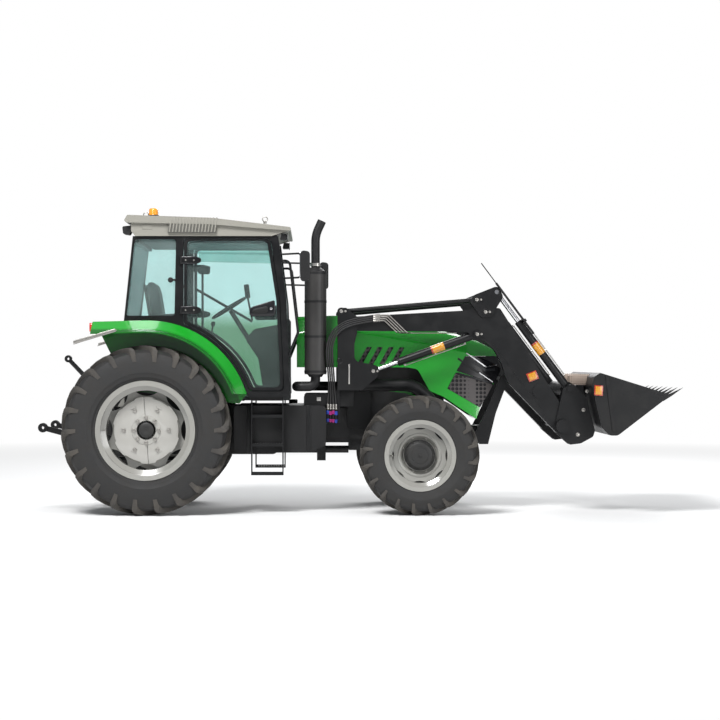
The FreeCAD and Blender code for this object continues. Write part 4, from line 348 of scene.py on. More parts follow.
def seat_cloth(name, colour):
    """Woven seat cloth, on the cushion's own coordinates."""
    p = Paint(name)
    warp = p.node("ShaderNodeTexWave", {"bands_direction": "X"}, {
        "Vector": p.place, "Scale": 190.0, "Distortion": 0.4}, "Fac")
    weft = p.node("ShaderNodeTexWave", {"bands_direction": "Z"}, {
        "Vector": p.place, "Scale": 190.0, "Distortion": 0.4}, "Fac")
    weave = warp * weft
    p.set(Base_Color=p.mix(weave, [c * 0.6 for c in colour], colour),
          Roughness=0.85 - weave * 0.1)
    p.set(Sheen_Weight=0.3)
    return p.bump(weave, 0.4, 0.0012).material


materials = {}


def make_materials():
    paint = bpy.context.scene.tractor_paint
    black = tuple(paint.loader_black)
    green = tuple(paint.body_green)
    silver = tuple(paint.rim_silver)
    materials.update({
        "green": gloss_paint("green enamel", green),
        # The fender paint darkens inside the wheel arch: painted shade.
        "fender": gloss_paint("fender enamel with painted shade", green, 0.08, (-2.010, 0.864, 0.925)),
        "black": satin_paint("loader black", black, 0.10),
        "bucket": satin_paint("bucket black", [c * 1.1 for c in black], 0.5, 0.42),
        "cab": satin_paint("cab black", [c * 1.2 for c in black], 0.12, 0.3),
        "silver": gloss_paint("rim silver", silver, 0.25),
        "weight": gloss_paint("weight ivory", (0.35, 0.343, 0.32), 0.1),
        "cast": cast_iron("cast grey", (0.010, 0.010, 0.011)),
        "hub": cast_iron("hub black", (0.012, 0.012, 0.012)),
        "tyre": rubber("tyre wall", (0.0125, 0.0125, 0.013), 0.07),
        "tread": rubber("tread", (0.034, 0.031, 0.028), paint.tread_dust),
        # Both glasses carry the pale film that is partly painted reflection; the door glass is
        # also painted darker low down as shade.
        "glass": window_glass("cab glass", tuple(paint.glass_tint), None, 0.10),
        "door_glass": window_glass("door glass", tuple(paint.glass_tint), (0.60, 0.76, 0.66)),
        "roof": moulded("roof shell", tuple(paint.roof_grey), 0.42, 0.04),
        "plastic": moulded("black plastic", (0.006, 0.006, 0.0065)),
        # Darker grey behind the roof's vent slats: painted shade in the gaps.
        "roof_gap_shade": moulded("roof gap shade", (0.12, 0.117, 0.105), 0.6),
        "dark_gloss": moulded("lamp surround", (0.010, 0.010, 0.012), 0.16, 0.01),
        "interior": moulded("cab trim", (0.030, 0.034, 0.035), 0.6),
        "chrome": steel("chrome rod", (0.72, 0.72, 0.74), 0.18),
        "zinc": steel("zinc bolt", (0.40, 0.385, 0.36), 0.36, 0.1),
        "bare": steel("bare steel", (0.46, 0.45, 0.43), 0.36, 0.1),
        "heat": satin_paint("heat paint", (0.009, 0.009, 0.010), 0.08, 0.5),
        "hose": rubber("hose rubber", (0.012, 0.012, 0.013), 0.05),
        "amber": lens("amber lens", (0.90, 0.33, 0.02), 0.05),
        "red": lens("red lens", (0.62, 0.02, 0.015), 0.05),
        "clear": lens("clear lens", (0.75, 0.77, 0.78)),
        "cloth": seat_cloth("seat cloth", (0.090, 0.095, 0.10)),
        "smoked": moulded("smoked lens", (0.030, 0.032, 0.036), 0.05, 0.0),
        # Perforated sheets, their holes painted near-black as shade.
        "mesh": perforated("grille mesh", (0.050, 0.044, 0.045), 0.040, 0.40),
        "shield": perforated("exhaust shield", (0.012, 0.012, 0.013), 0.024, 0.20),
        "fawn": perforated("step mesh", (0.42, 0.33, 0.27), 0.022, 0.30),
        "mirror": steel("mirror glass", (0.86, 0.88, 0.90), 0.02),
        "reflector": lens("reflector orange", (0.56, 0.25, 0.008)),
        "border": lens("reflector border", (0.36, 0.03, 0.008)),
        "lining": moulded("roof lining", (0.20, 0.21, 0.21), 0.7),
        "band": window_glass("window band", (0.74, 0.88, 0.85), None, 0.08),
        "cap_red": moulded("magenta cap", (0.28, 0.012, 0.13), 0.35, 0.02),
        "cap_blue": moulded("blue cap", (0.02, 0.05, 0.33), 0.35, 0.02),
    })


NODE_FINISH = {
    "green": "hood side_panels",
    "fender": "fenders",
    "black": "loader_towers front_guard boom_arms bell_cranks level_rods lift_barrels "
        "tilt_barrels hitch_frame drawbar rear_links cab_steps hitch_pins tilt_pins "
        "couplers",
    "bucket": "bucket",
    "mesh": "grille",
    "hose": "tower_hoses boom_hoses",
    "cab": "cab_frame door_right door_left handrails",
    "silver": "rear_rim_right rear_rim_left front_rim_right front_rim_left",
    "tyre": "rear_tyre_right rear_tyre_left front_tyre_right front_tyre_left",
    "cast": "transmission engine front_frame front_axle knuckle_right knuckle_left",
    "bare": "tie_rod",
    "zinc": "boom_pipes fender_stays",
    "chrome": "lift_rods tilt_rods",
    "glass": "cab_glass",
    "door_glass": "door_glass_right door_glass_left",
    "roof": "cab_roof",
    "plastic": "side_tanks mirrors steering_wheel battery_boxes level_indicator lamps",
    "dark_gloss": "head_lamps",
    "interior": "dashboard cab_floor",
    "heat": "exhaust",
    "amber": "beacon",
    "cloth": "seat",
}


# ---------------------------------------------------------------- modelling helpers

def mode(name):
    if bpy.context.mode != {"EDIT": "EDIT_MESH", "OBJECT": "OBJECT"}[name]:
        bpy.ops.object.mode_set(mode=name)


def clear_selection():
    mode("OBJECT")
    bpy.ops.object.select_all(action="DESELECT")


def only(piece):
    """Make one piece active and the only one selected."""
    clear_selection()
    piece.select_set(True)
    bpy.context.view_layer.objects.active = piece
    return piece


def named(name):
    piece = bpy.context.active_object
    piece.name = name
    piece.data.name = name
    return piece


def block(name, low, high, bevel=0.0, segments=2):
    """A box between two corners, with its edges bevelled."""
    clear_selection()
    low, high = Vector(low), Vector(high)
    bpy.ops.mesh.primitive_cube_add(size=1, location=(low + high) / 2, scale=high - low)
    piece = named(name)
    settle(piece)
    if bevel:
        round_edges(piece, bevel, segments)
    return piece


def turned_bar(name, start, end, radius, sides=24, bevel=0.0):
    """A round bar between two points."""
    clear_selection()
    start, end = Vector(start), Vector(end)
    run = end - start
    turn = run.to_track_quat("Z", "Y").to_euler()
    bpy.ops.mesh.primitive_cylinder_add(vertices=sides, radius=radius, depth=run.length,
                                        location=(start + end) / 2, rotation=turn)
    piece = named(name)
    settle(piece)
    if bevel:
        round_edges(piece, bevel, 2)
    return piece


def settle(piece):
    """Put a piece's place, turn and scale into its mesh."""
    only(piece)
    bpy.ops.object.transform_apply(location=True, rotation=True, scale=True)


def round_edges(piece, width, segments=2, angle=30):
    """Bevel the edges that are sharper than an angle."""
    only(piece)
    bevel = piece.modifiers.new("Bevel", "BEVEL")
    bevel.width = width
    bevel.segments = segments
    bevel.limit_method = "ANGLE"
    bevel.angle_limit = math.radians(angle)
    bpy.ops.object.modifier_apply(modifier=bevel.name)


def lofted(name, rings):
    """A closed form through rings of corners: one face, extruded ring by ring."""
    clear_selection()
    bpy.ops.mesh.primitive_circle_add(vertices=len(rings[0]), radius=1, fill_type="NGON")
    piece = named(name)
    for vertex, corner in zip(piece.data.vertices, rings[0]):
        vertex.co = corner
    for ring in rings[1:]:
        mode("EDIT")
        bpy.ops.mesh.extrude_region_move()
        mode("OBJECT")
        ends = [v for v in piece.data.vertices if v.select]
        for vertex, corner in zip(ends, ring):
            vertex.co = corner
    recalculate(piece)
    return piece


def recalculate(piece):
    only(piece)
    mode("EDIT")
    bpy.ops.mesh.select_all(action="SELECT")
    bpy.ops.mesh.remove_doubles(threshold=0.00002)
    bpy.ops.mesh.normals_make_consistent(inside=False)
    mode("OBJECT")


def spun(name, profile, centre, steps=96, axis=SPIN):
    """A closed profile of (along, radius) corners, spun round a line across the machine."""
    clear_selection()
    bpy.ops.mesh.primitive_circle_add(vertices=len(profile), radius=1)
    piece = named(name)
    along = Vector(axis)
    out = Vector((0, 0, 1)) if abs(along.z) < 0.5 else Vector((1, 0, 0))
    for vertex, (distance, radius) in zip(piece.data.vertices, profile):
        vertex.co = Vector(centre) + along * distance + out * radius
    mode("EDIT")
    bpy.ops.mesh.select_all(action="SELECT")
    bpy.ops.mesh.spin(steps=steps, angle=FULL_TURN, center=centre, axis=axis)
    mode("OBJECT")
    recalculate(piece)
    return piece


def copies(piece, moves):
    """Copy a piece once for each move, each with its own mesh, and join them."""
    made = []
    for move in moves:
        copy = piece.copy()
        copy.data = piece.data.copy()
        copy.data.transform(move)
        if move.determinant() < 0:
            copy.data.flip_normals()
        bpy.context.collection.objects.link(copy)
        made.append(copy)
    name = piece.name
    bpy.data.objects.remove(piece)
    return joined(name, made)


def joined(name, pieces):
    clear_selection()
    for piece in pieces:
        piece.select_set(True)
    bpy.context.view_layer.objects.active = pieces[0]
    if len(pieces) > 1:
        bpy.ops.object.join()
    return named(name)


def about(centre, axis, angle):
    """The move that turns a mesh about a line through centre."""
    centre = Vector(centre)
    return (Matrix.Translation(centre) @ Matrix.Rotation(angle, 4, Vector(axis))
            @ Matrix.Translation(-centre))


def around(centre, axis, count, first=0.0):
    return [about(centre, axis, first + FULL_TURN * i / count) for i in range(count)]


ACROSS = Matrix.Scale(-1, 4, Vector(SPIN))
BOTH = [Matrix.Identity(4), ACROSS]


def placed(piece, finish, body, smooth=35):
    """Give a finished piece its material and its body."""
    only(piece)
    piece.data.materials.clear()
    piece.data.materials.append(materials[finish])
    if smooth:
        bpy.ops.object.shade_smooth_by_angle(angle=math.radians(smooth))
    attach(piece, body)
    return piece


def hex_bolt(name, at, direction, radius, height):
    """A hexagon head on a washer, facing a direction."""
    at, direction = Vector(at), Vector(direction)
    washer = turned_bar(name + "_washer", at, at + direction * height * 0.25, radius * 1.25, 16)
    head = turned_bar(name, at + direction * height * 0.25, at + direction * height, radius, 6,
                      radius * 0.08)
    return joined(name, [head, washer])


# ---------------------------------------------------------------- stage

def lay_floor():
    clear_selection()
    bpy.ops.mesh.primitive_plane_add(size=120, location=(0, 0, 0))
    floor = named("stage_floor")
    paint = Paint("pale floor")
    paint.set(Base_Color=(0.86, 0.86, 0.86), Roughness=0.9)
    rays = paint.node("ShaderNodeLightPath", {}, {}, "Is Camera Ray")
    far = paint.ramp(paint.node("ShaderNodeVectorMath", {"operation": "LENGTH"}, {
        0: paint.place}, "Value") / 40.0, (0.10, 0.0), (0.40, 1.0))
    white = paint.node("ShaderNodeEmission", {}, {"Color": (1, 1, 1), "Strength": 1.0})
    surface = paint.node("ShaderNodeMixShader", {}, {
        0: far * rays, 1: Wire(paint, paint.shader.outputs[0]), 2: white})
    paint.join(paint.nodes["Material Output"].inputs["Surface"], surface)
    floor.data.materials.append(paint.material)


def light_sky(scene, settings):
    world = bpy.data.worlds.new("Studio")
    world.use_nodes = True
    scene.world = world
    nodes, links = world.node_tree.nodes, world.node_tree.links
    output = nodes["World Output"]
    soft = nodes["Background"]
    soft.inputs["Color"].default_value = (0.93, 0.96, 1.0, 1)
    soft.inputs["Strength"].default_value = settings.sky_strength
    white = nodes.new("ShaderNodeBackground")
    white.inputs["Color"].default_value = (1, 1, 1, 1)
    white.inputs["Strength"].default_value = 1.0
    rays = nodes.new("ShaderNodeLightPath")
    seen = nodes.new("ShaderNodeMath")
    seen.operation = "MAXIMUM"
    links.new(rays.outputs["Is Camera Ray"], seen.inputs[0])
    links.new(rays.outputs["Is Transmission Ray"], seen.inputs[1])
    mix = nodes.new("ShaderNodeMixShader")
    links.new(seen.outputs[0], mix.inputs[0])
    links.new(soft.outputs[0], mix.inputs[1])
    links.new(white.outputs[0], mix.inputs[2])
    links.new(mix.outputs[0], output.inputs["Surface"])
    scene.view_settings.view_transform = "Standard"


def hang_lamp(name, place, size, power):
    data = bpy.data.lights.new(name, "AREA")
    data.energy = power
    data.size = size
    lamp = bpy.data.objects.new(name, data)
    bpy.context.collection.objects.link(lamp)
    lamp.location = place
    lamp.rotation_euler = (Vector((0, 0, 1.2)) - Vector(place)).to_track_quat("-Z", "Y").to_euler()


def set_camera(scene, settings):
    data = bpy.data.cameras.new("Camera")
    data.lens = settings.lens
    data.sensor_width = 36
    data.shift_x = 0.0625
    data.shift_y = 0.0028
    data.clip_end = 200
    camera = bpy.data.objects.new("Camera", data)
    bpy.context.collection.objects.link(camera)
    camera.location = (-0.396, -18.4, 1.464)
    camera.rotation_euler = (math.radians(90), 0, 0)
    scene.camera = camera


class TRACTOR_OT_stage(bpy.types.Operator):
    """Floor, background, lamps and camera"""
    bl_idname = "tractor.stage"
    bl_label = "Stage"

    def execute(self, context):
        settings = context.scene.tractor_stage
        lay_floor()
        light_sky(context.scene, settings)
        hang_lamp("Key", (-4.0, -7.5, 10.5), 4.0, settings.key_power)
        hang_lamp("Fill", (7.5, -8.0, 3.0), 5.0, settings.key_power * 0.22)
        hang_lamp("Back", (2.0, 9.0, 8.0), 7.0, settings.key_power * 0.5)
        set_camera(context.scene, settings)
        return {"FINISHED"}


class TRACTOR_OT_finish_frame(bpy.types.Operator):
    """Materials of the pieces that come from the frame"""
    bl_idname = "tractor.finish_frame"
    bl_label = "Frame finish"

    def execute(self, context):
        make_materials()
        for finish, nodes in NODE_FINISH.items():
            for node in nodes.split():
                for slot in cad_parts[node].material_slots:
                    slot.material = materials[finish]
        return {"FINISHED"}


# ---------------------------------------------------------------- wheels

class Tyre:
    """Sizes of one wheel, read from its solids."""

    def __init__(self, end, word, side):
        low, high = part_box("%s_tyre_%s" % (end, word))
        self.node = "%s_tyre_%s" % (end, word)
        self.body = "%s_wheel_%s" % (end, word)
        self.centre = (Vector(low) + Vector(high)) / 2
        self.radius = (high[2] - low[2]) / 2
        self.half = (high[1] - low[1]) / 2
        self.side = side
        rim_low, rim_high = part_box("%s_rim_%s" % (end, word))
        self.flange = (rim_high[2] - rim_low[2]) / 2
        self.seat = self.flange - (0.035 if end == "rear" else 0.029)
        self.lip = 0.165 if end == "rear" else 0.125


def tyre_wall(tyre, lug):
    """Casing: bead, lip line, sidewall, shoulder and crown, closed inside."""
    crown = tyre.radius - lug
    h, s, f, b = tyre.half, tyre.seat, tyre.flange, tyre.lip
    outer = [(b - 0.004, s + 0.002), (b - 0.002, f + 0.002), (b + 0.012, f + 0.006),
             (b + 0.016, f + 0.020), (h * 0.93, f + 0.035), (h * 0.975, f + 0.075),
             (h * 0.985, f + 0.078), (h * 0.99, (f + crown) / 2 - 0.02),
             (h * 0.97, crown - 0.085), (h * 0.90, crown - 0.040), (h * 0.72, crown - 0.014),
             (h * 0.40, crown - 0.003)]
    left = [(-y, r) for y, r in outer][::-1]
    return outer + [(0.0, crown)] + left + [(-b + 0.02, s + 0.004), (-h * 0.88, f + 0.06),
                                            (-h * 0.84, crown - 0.085), (0.0, crown - 0.035),
                                            (h * 0.84, crown - 0.085), (h * 0.88, f + 0.06),
                                            (b - 0.02, s + 0.004)]


def lug_ring(tyre, lug, along, angle, width, drop):
    """One cross-section of a lug: a trapezoid standing on the casing."""
    top = tyre.radius - drop
    foot = top - lug * 1.9 if drop < lug * 0.5 else top - lug * 1.5
    corners = []
    for across, radius in ((-0.5, foot), (-0.34, top), (0.34, top), (0.5, foot)):
        turn = angle + across * width / tyre.radius
        corners.append(tyre.centre + Vector((math.sin(turn) * radius, along,
                                             math.cos(turn) * radius)))
    return corners


def tyre_lugs(tyre, lug, count):
    """Chevron lugs: long bars from past the middle to the shoulder, left and right in turn."""
    h = tyre.half
    pitch = FULL_TURN / count
    swing = h * 1.02 / tyre.radius
    stations = [(-0.10, -0.08, 0.042, 0.004), (0.0, 0.0, 0.050, 0.0), (0.30, 0.34, 0.046, 0.001),
                (0.62, 0.70, 0.048, 0.006), (0.86, 0.93, 0.056, 0.016),
                (0.985, 1.02, 0.062, 0.040), (0.995, 1.06, 0.050, 0.105)]
    scale = tyre.radius * 1000 / REAR_HUB[1]
    rings = [lug_ring(tyre, lug, h * y, swing * a, w * scale, d * scale)
             for y, a, w, d in stations]
    first = lofted("lug", rings)
    round_edges(first, 0.004 * scale, 1, 40)
    mirror = Matrix.Translation(tyre.centre) @ ACROSS @ Matrix.Translation(-tyre.centre)
    moves = []
    for i in range(count):
        moves.append(about(tyre.centre, SPIN, pitch * i))
        moves.append(about(tyre.centre, SPIN, pitch * (i + 0.5)) @ mirror)
    return copies(first, moves)


class TRACTOR_OT_tyres(bpy.types.Operator):
    """Tyre casings with their lugs"""
    bl_idname = "tractor.tyres"
    bl_label = "Tyres"

    def execute(self, context):
        settings = context.scene.tractor_tyres
        for end, count in (("rear", settings.rear_lugs), ("front", settings.front_lugs)):
            lug = settings.lug_height * (1.0 if end == "rear" else 0.8)
            for word, side in SIDES:
                tyre = Tyre(end, word, side)
                casing = spun("%s_casing_%s" % (end, word), tyre_wall(tyre, lug), tyre.centre)
                placed(casing, "tyre", tyre.body, smooth=30)
                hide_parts(tyre.node)
                tread = tyre_lugs(tyre, lug, count)
                tread.name = "%s_tread_%s" % (end, word)
                placed(tread, "tread", tyre.body, smooth=30)
        return {"FINISHED"}


# ---------------------------------------------------------------- shared detail shapes

def mm(x, y, z):
    """A point given in millimetres."""
    return Vector((x, y, z)) / 1000


def plate(name, outline, y_low, y_high, bevel=0.0):
    """A plate cut to an outline of (x, z) corners in millimetres, between two planes."""
    rings = [[mm(x, y, z) for x, z in outline] for y in (y_low, y_high)]
    piece = lofted(name, rings)
    if bevel:
        round_edges(piece, bevel / 1000, 2)
    return piece


def mirrored(piece):
    """The piece and its mirror image across the machine, as one."""
    return copies(piece, BOTH)


def bar(name, start, end, radius, sides=24, bevel=0.0):
    """A round bar between two points, all in millimetres."""
    return turned_bar(name, mm(*start), mm(*end), radius / 1000, sides, bevel / 1000)


def disc(name, centre, y_low, y_high, radius, sides=32, bevel=0.0):
    """A round boss whose axis runs across the machine, in millimetres."""
    x, z = centre
    return bar(name, (x, y_low, z), (x, y_high, z), radius, sides, bevel)


def strip(name, points, side, width, height):
    """A low strip along points that lie on a surface, standing out to one side."""
    rings = []
    for index, point in enumerate(points):
        before = points[max(index - 1, 0)]
        after = points[min(index + 1, len(points) - 1)]
        run = Vector((after.x - before.x, 0, after.z - before.z)).normalized()
        across = Vector((-run.z, 0, run.x)) * width / 2000
        lift = Vector((0, side * height / 1000, 0))
        root = Vector((0, -side * 0.003, 0))
        rings.append([point - across + root, point - across * 0.8 + lift,
                      point + across * 0.8 + lift, point + across + root])
    return lofted(name, rings)


def draped(node, corners, side, count=12):
    """Points along a line of (x, z) corners, dropped on a node's outer face."""
    targets = [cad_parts[name] for name in node.split()]
    found = []
    for start, end in zip(corners, corners[1:]):
        for step in range(count + 1):
            share = step / count
            x = start[0] + (end[0] - start[0]) * share
            z = start[1] + (end[1] - start[1]) * share
            casts = [t.ray_cast(mm(x, side * 2000, z), (0, -side, 0)) for t in targets]
            hits = sorted([cast[1] for cast in casts if cast[0]], key=lambda at: -at.y * side)
            if hits and (not found or (hits[0] - found[-1]).length > 0.002):
                found.append(hits[0])
    return found


def side_bolt(name, place, side, radius, height):
    """A hexagon bolt on a face that looks to one side, in millimetres."""
    return hex_bolt(name, mm(*place), (0, side, 0), radius / 1000, height / 1000)


def oblong(x_low, x_high, z_low, z_high):
    return [(x_low, z_low), (x_high, z_low), (x_high, z_high), (x_low, z_high)]


def sleeve(low, high, inner, outer):
    """Profile of a plain tube, for spinning."""
    return [(low, inner), (low, outer), (high, outer), (high, inner)]


def ring(name, centre, radius, thick, axis, steps=48, sides=10):
    """A round ring, such as a lifting eye or a stamped circle, in millimetres."""
    angles = [FULL_TURN * i / sides for i in range(sides)]
    profile = [(math.cos(a) * thick / 1000, (radius + math.sin(a) * thick) / 1000)
        for a in angles]
    return spun(name, profile, centre, steps, axis)


def reflector(name, corners, y, side, body):
    """A blank orange plate with a red border, stuck to a flat side."""
    middle_x = sum(x for x, _ in corners) / 4
    middle_z = sum(z for _, z in corners) / 4
    inner = [(middle_x + (x - middle_x) * 0.72, middle_z + (z - middle_z) * 0.78)
        for x, z in corners]
    placed(plate(name + "_border", corners, y * side, (y + 3) * side, 1), "border", body)
    placed(plate(name, inner, (y + 2.5) * side, (y + 5) * side, 1), "reflector", body)


# ---------------------------------------------------------------- wheel discs

def weight_outline(radius, side):
    """Half a notched disc round the hub's hole, as (x, z) corners about its own centre."""
    hole, notch_depth, half_slit = 118, 14, 1.5
    corners = []
    for step in range(61):
        angle = math.radians(-90 + 3 * step)
        reach = radius - (notch_depth if int((step + 5) / 10) % 2 else 0)
        corners.append((side * (math.cos(angle) * reach + half_slit), math.sin(angle) * reach))
    for step in range(13):
        angle = math.radians(90 - 15 * step)
        corners.append((side * (math.cos(angle) * hole + half_slit), math.sin(angle) * hole))
    return corners


def rear_disc(body, side):
    """Split wheel weight with its bars and bolts, and a dark plate in its split as painted shade;
    the hub's flange, nuts and axle end.
    """
    x, z = REAR_HUB
    hub = mm(x, 0, z)
    tilt = about(hub, SPIN, math.radians(-4))
    sixths = around(hub, SPIN, 6, math.radians(30))
    halves = []
    for half in (-1, 1):
        outline = [(x + along, z + up) for along, up in weight_outline(320, half)]
        halves.append(plate("half_weight", outline, side * 818, side * 887.5, 3))
    # A dark plate in the split between the weight's halves: painted shade, so that the slit reads
    # dark.
    slit_shade = plate(body + "_weight_slit", oblong(x - 10, x + 10, z - 300, z + 300), side * 822,
        side * 885)
    slit_shade.data.transform(tilt)
    placed(slit_shade, "hub", body)
    weights = joined(body + "_weights", halves)
    weights.data.transform(tilt)
    placed(weights, "weight", body)
    pad = plate(body + "_weight_bars", oblong(x - 30, x + 30, z + 240, z + 248), side * 886,
        side * 893, 2)
    placed(copies(pad, sixths), "weight", body)
    bolt = side_bolt(body + "_weight_bolts", (x, side * 886, z + 215), side, 17, 16)
    placed(copies(bolt, sixths), "zinc", body)
    flange = [(0.880, 0.090), (0.892, 0.094), (0.892, 0.136), (0.887, 0.141), (0.880, 0.141)]
    placed(side_spun(body + "_hub_flange", flange, side, hub, 72), "weight", body)
    nut = side_bolt("hub_nut", (x, side * 890.5, z + 118), side, 17, 18)
    stud = bar("stud", (x, side * 906, z + 118), (x, side * 914, z + 118), 9, 12, 1)
    nuts = copies(joined(body + "_hub_nuts", [nut, stud]), around(hub, SPIN, 8))
    placed(nuts, "zinc", body)
    cap = [(0.895, 0.0001), (0.899, 0.030), (0.899, 0.062), (0.893, 0.072), (0.860, 0.075),
        (0.858, 0.0001)]
    placed(side_spun(body + "_axle_end", cap, side, hub, 64), "hub", body)
    rim_beads(body, hub, side, 0.475, 0.166, 0.411)


def side_spun(name, profile, side, centre, steps):
    """A profile spun round a wheel's axle, on the side where the wheel is."""
    return spun(name, [(side * along, radius) for along, radius in profile], centre, steps)


def front_disc(body, side):
    """Disc ring, wheel nuts, and the planetary hub with its bolts and plug."""
    x, z = FRONT_HUB
    hub = mm(x, 0, z)
    placed(ring(body + "_disc_ring", hub + mm(0, side * 856, 0), 204, 5, SPIN, 96), "silver", body)
    nut = side_bolt(body + "_wheel_nuts", (x, side * 813, z + 176), side, 14, 22)
    placed(copies(nut, around(hub, SPIN, 8, math.radians(22.5))), "zinc", body)
    cover = [(0.812, 0.0001), (0.812, 0.1475), (0.868, 0.1475), (0.872, 0.1440),
        (0.9065, 0.1180), (0.9085, 0.1140), (0.9090, 0.0800), (0.9120, 0.0780),
        (0.9135, 0.0700), (0.9140, 0.0001)]
    placed(side_spun(body + "_hub", cover, side, hub, 72), "hub", body)
    small = side_bolt(body + "_cover_bolts", (x, side * 885, z + 130), side, 8, 10)
    placed(copies(small, around(hub, SPIN, 12)), "hub", body)
    plug = side_bolt(body + "_plug", (x, side * 913, z), side, 16, 10)
    placed(plug, "hub", body)
    rim_beads(body, hub, side, 0.341, 0.125, 0.288)


def rim_beads(body, hub, side, flange, half, inner):
    """Rolled lips of the rim and the inner weld ring, with the valve."""
    middle_y = side * 0.830
    lips = []
    for lip in (-1, 1):
        at = hub + Vector((0, middle_y + lip * half, 0))
        lips.append(ring("lip", at, (flange - 0.004) * 1000, 6, SPIN, 128))
    at = hub + Vector((0, middle_y + side * 0.045, 0))
    lips.append(ring("weld", at, inner * 1000 - 4, 5, SPIN, 128, 8))
    placed(joined(body + "_rim_lips", lips), "silver", body)
    start = hub + Vector((-inner * 0.96, middle_y + side * 0.06, 0))
    end = start + Vector((0.012, side * 0.055, 0))
    placed(turned_bar(body + "_valve", start, end, 0.006, 12, 0.001), "zinc", body)


class TRACTOR_OT_wheel_discs(bpy.types.Operator):
    """Wheel weights, hub bolts, axle ends, rim beads and valves"""
    bl_idname = "tractor.wheel_discs"
    bl_label = "Wheel discs"

    def execute(self, context):
        for word, side in SIDES:
            rear_disc("rear_wheel_" + word, side)
            front_disc("front_wheel_" + word, side)
        return {"FINISHED"}


# ---------------------------------------------------------------- hood

LAMP_NODES = "hood head_lamps grille"
# Name, nodes that it lies on, corners, width, height and finish.
HOOD_LINES = (
    ("hood_crease", "hood", [(32, 1663), (634, 1592)], 9, 4, "green"),
    ("hood_fold", "hood", [(-500, 1752), (300, 1740), (900, 1640)], 7, 3, "green"),
    ("lamp_strip", LAMP_NODES, [(1094, 1553), (1292, 1415), (1400, 1434)], 14, 7, "chrome"),
    ("lamp_low_strip", LAMP_NODES, [(1222, 1360), (1361, 1267)], 9, 6, "chrome"),
    ("lamp_edge", LAMP_NODES, [(1006, 1352), (1358, 1254)], 26, 5, "dark_gloss"),
    ("lamp_fold", LAMP_NODES, [(1010, 1500), (1190, 1372), (1330, 1320)], 22, 6, "dark_gloss"),
    ("lamp_lens", LAMP_NODES, [(1170, 1462), (1286, 1384), (1380, 1392)], 30, 5, "smoked"),
)


def hood_line(name, nodes, corners, side, width, height, finish):
    """A strip laid along the hood's skin."""
    points = draped(nodes, corners, side)
    if len(points) < 3:
        raise RuntimeError(name + " found no surface on " + nodes)
    placed(strip(name, points, side, width, height), finish, "hood")


def nose_slats():
    """Slats across the front, seen head-on."""
    low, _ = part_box("grille")
    slats = []
    for step in range(7):
        z = low[2] + 0.05 + step * 0.042
        hit, place, _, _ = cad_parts["grille"].ray_cast((3.0, 0.0, z), (-1, 0, 0))
        if hit:
            slats.append(block("slat", (place.x - 0.006, -0.27, z - 0.006),
                (place.x + 0.008, 0.27, z + 0.006), 0.002))
    if slats:
        placed(joined("grille_slats", slats), "plastic", "hood")


class TRACTOR_OT_hood_detail(bpy.types.Operator):
    """Vent mesh put behind the vents as painted shade, pressed lines, lamp strips and lenses of
    the hood
    """
    bl_idname = "tractor.hood_detail"
    bl_label = "Hood"

    def execute(self, context):
        for word, side in SIDES:
            # A dark perforated sheet inside the hood behind the side vents: painted shade, so that
            # the vents read dark.
            mesh = plate("vent_mesh_" + word, oblong(-20, 500, 1410, 1640), side * 366,
                side * 371)
            placed(mesh, "mesh", "hood")
            for name, nodes, corners, width, height, finish in HOOD_LINES:
                hood_line("%s_%s" % (name, word), nodes, corners, side, width, height, finish)
        nose_slats()
        return {"FINISHED"}


# ---------------------------------------------------------------- cab

def lifting_eyes():
    eyes = []
    for x, z in ((-2035, 2892), (-881, 2850)):
        foot = bar("foot", (x, -620, z - 44), (x, -620, z - 18), 16, 12, 2)
        eyes += [foot, ring("loop", mm(x, -620, z), 24, 5, SPIN, 32, 8)]
    placed(mirrored(joined("lifting_eyes", eyes)), "zinc", "tractor")


class TRACTOR_OT_roof_detail(bpy.types.Operator):
    """Ribbed vents with painted shade behind their slats, recesses, lifting eyes and beacon foot
    of the roof
    """
    bl_idname = "tractor.roof_detail"
    bl_label = "Roof"

    def execute(self, context):
        slats = []
        for x in range(-1800, -1800 + 15 * 31, 31):
            outline = [(x, 2712), (x + 13, 2712), (x + 33, 2852), (x + 20, 2852)]
            slats.append(plate("slat", outline, -770, -809, 2))
        placed(mirrored(joined("roof_vent_slats", slats)), "roof", "tractor")
        # The plates behind the slats are a darker grey: painted shade in the gaps between the
        # slats.
        back = plate("roof_vent_backs", [(-1812, 2706), (-1350, 2706), (-1328, 2836),
            (-1790, 2850)], -760, -799, 3)
        placed(mirrored(back), "roof_gap_shade", "tractor")
        rim = plate("roof_recess_rims", [(-2058, 2742), (-1962, 2736), (-1958, 2784),
            (-2054, 2790)], -760, -779, 4)
        placed(mirrored(rim), "roof", "tractor")
        lifting_eyes()
        foot = spun("beacon_foot", [(-0.004, 0.0001), (-0.004, 0.062), (0.006, 0.064),
            (0.014, 0.056), (0.020, 0.050), (0.020, 0.0001)], mm(-1960, -640, 2868), 48, UPRIGHT)
        placed(foot, "plastic", "tractor")
        lining = block("roof_lining", mm(-2080, -690, 2632), mm(-815, 690, 2668), 0.012)
        placed(lining, "lining", "tractor")
        return {"FINISHED"}


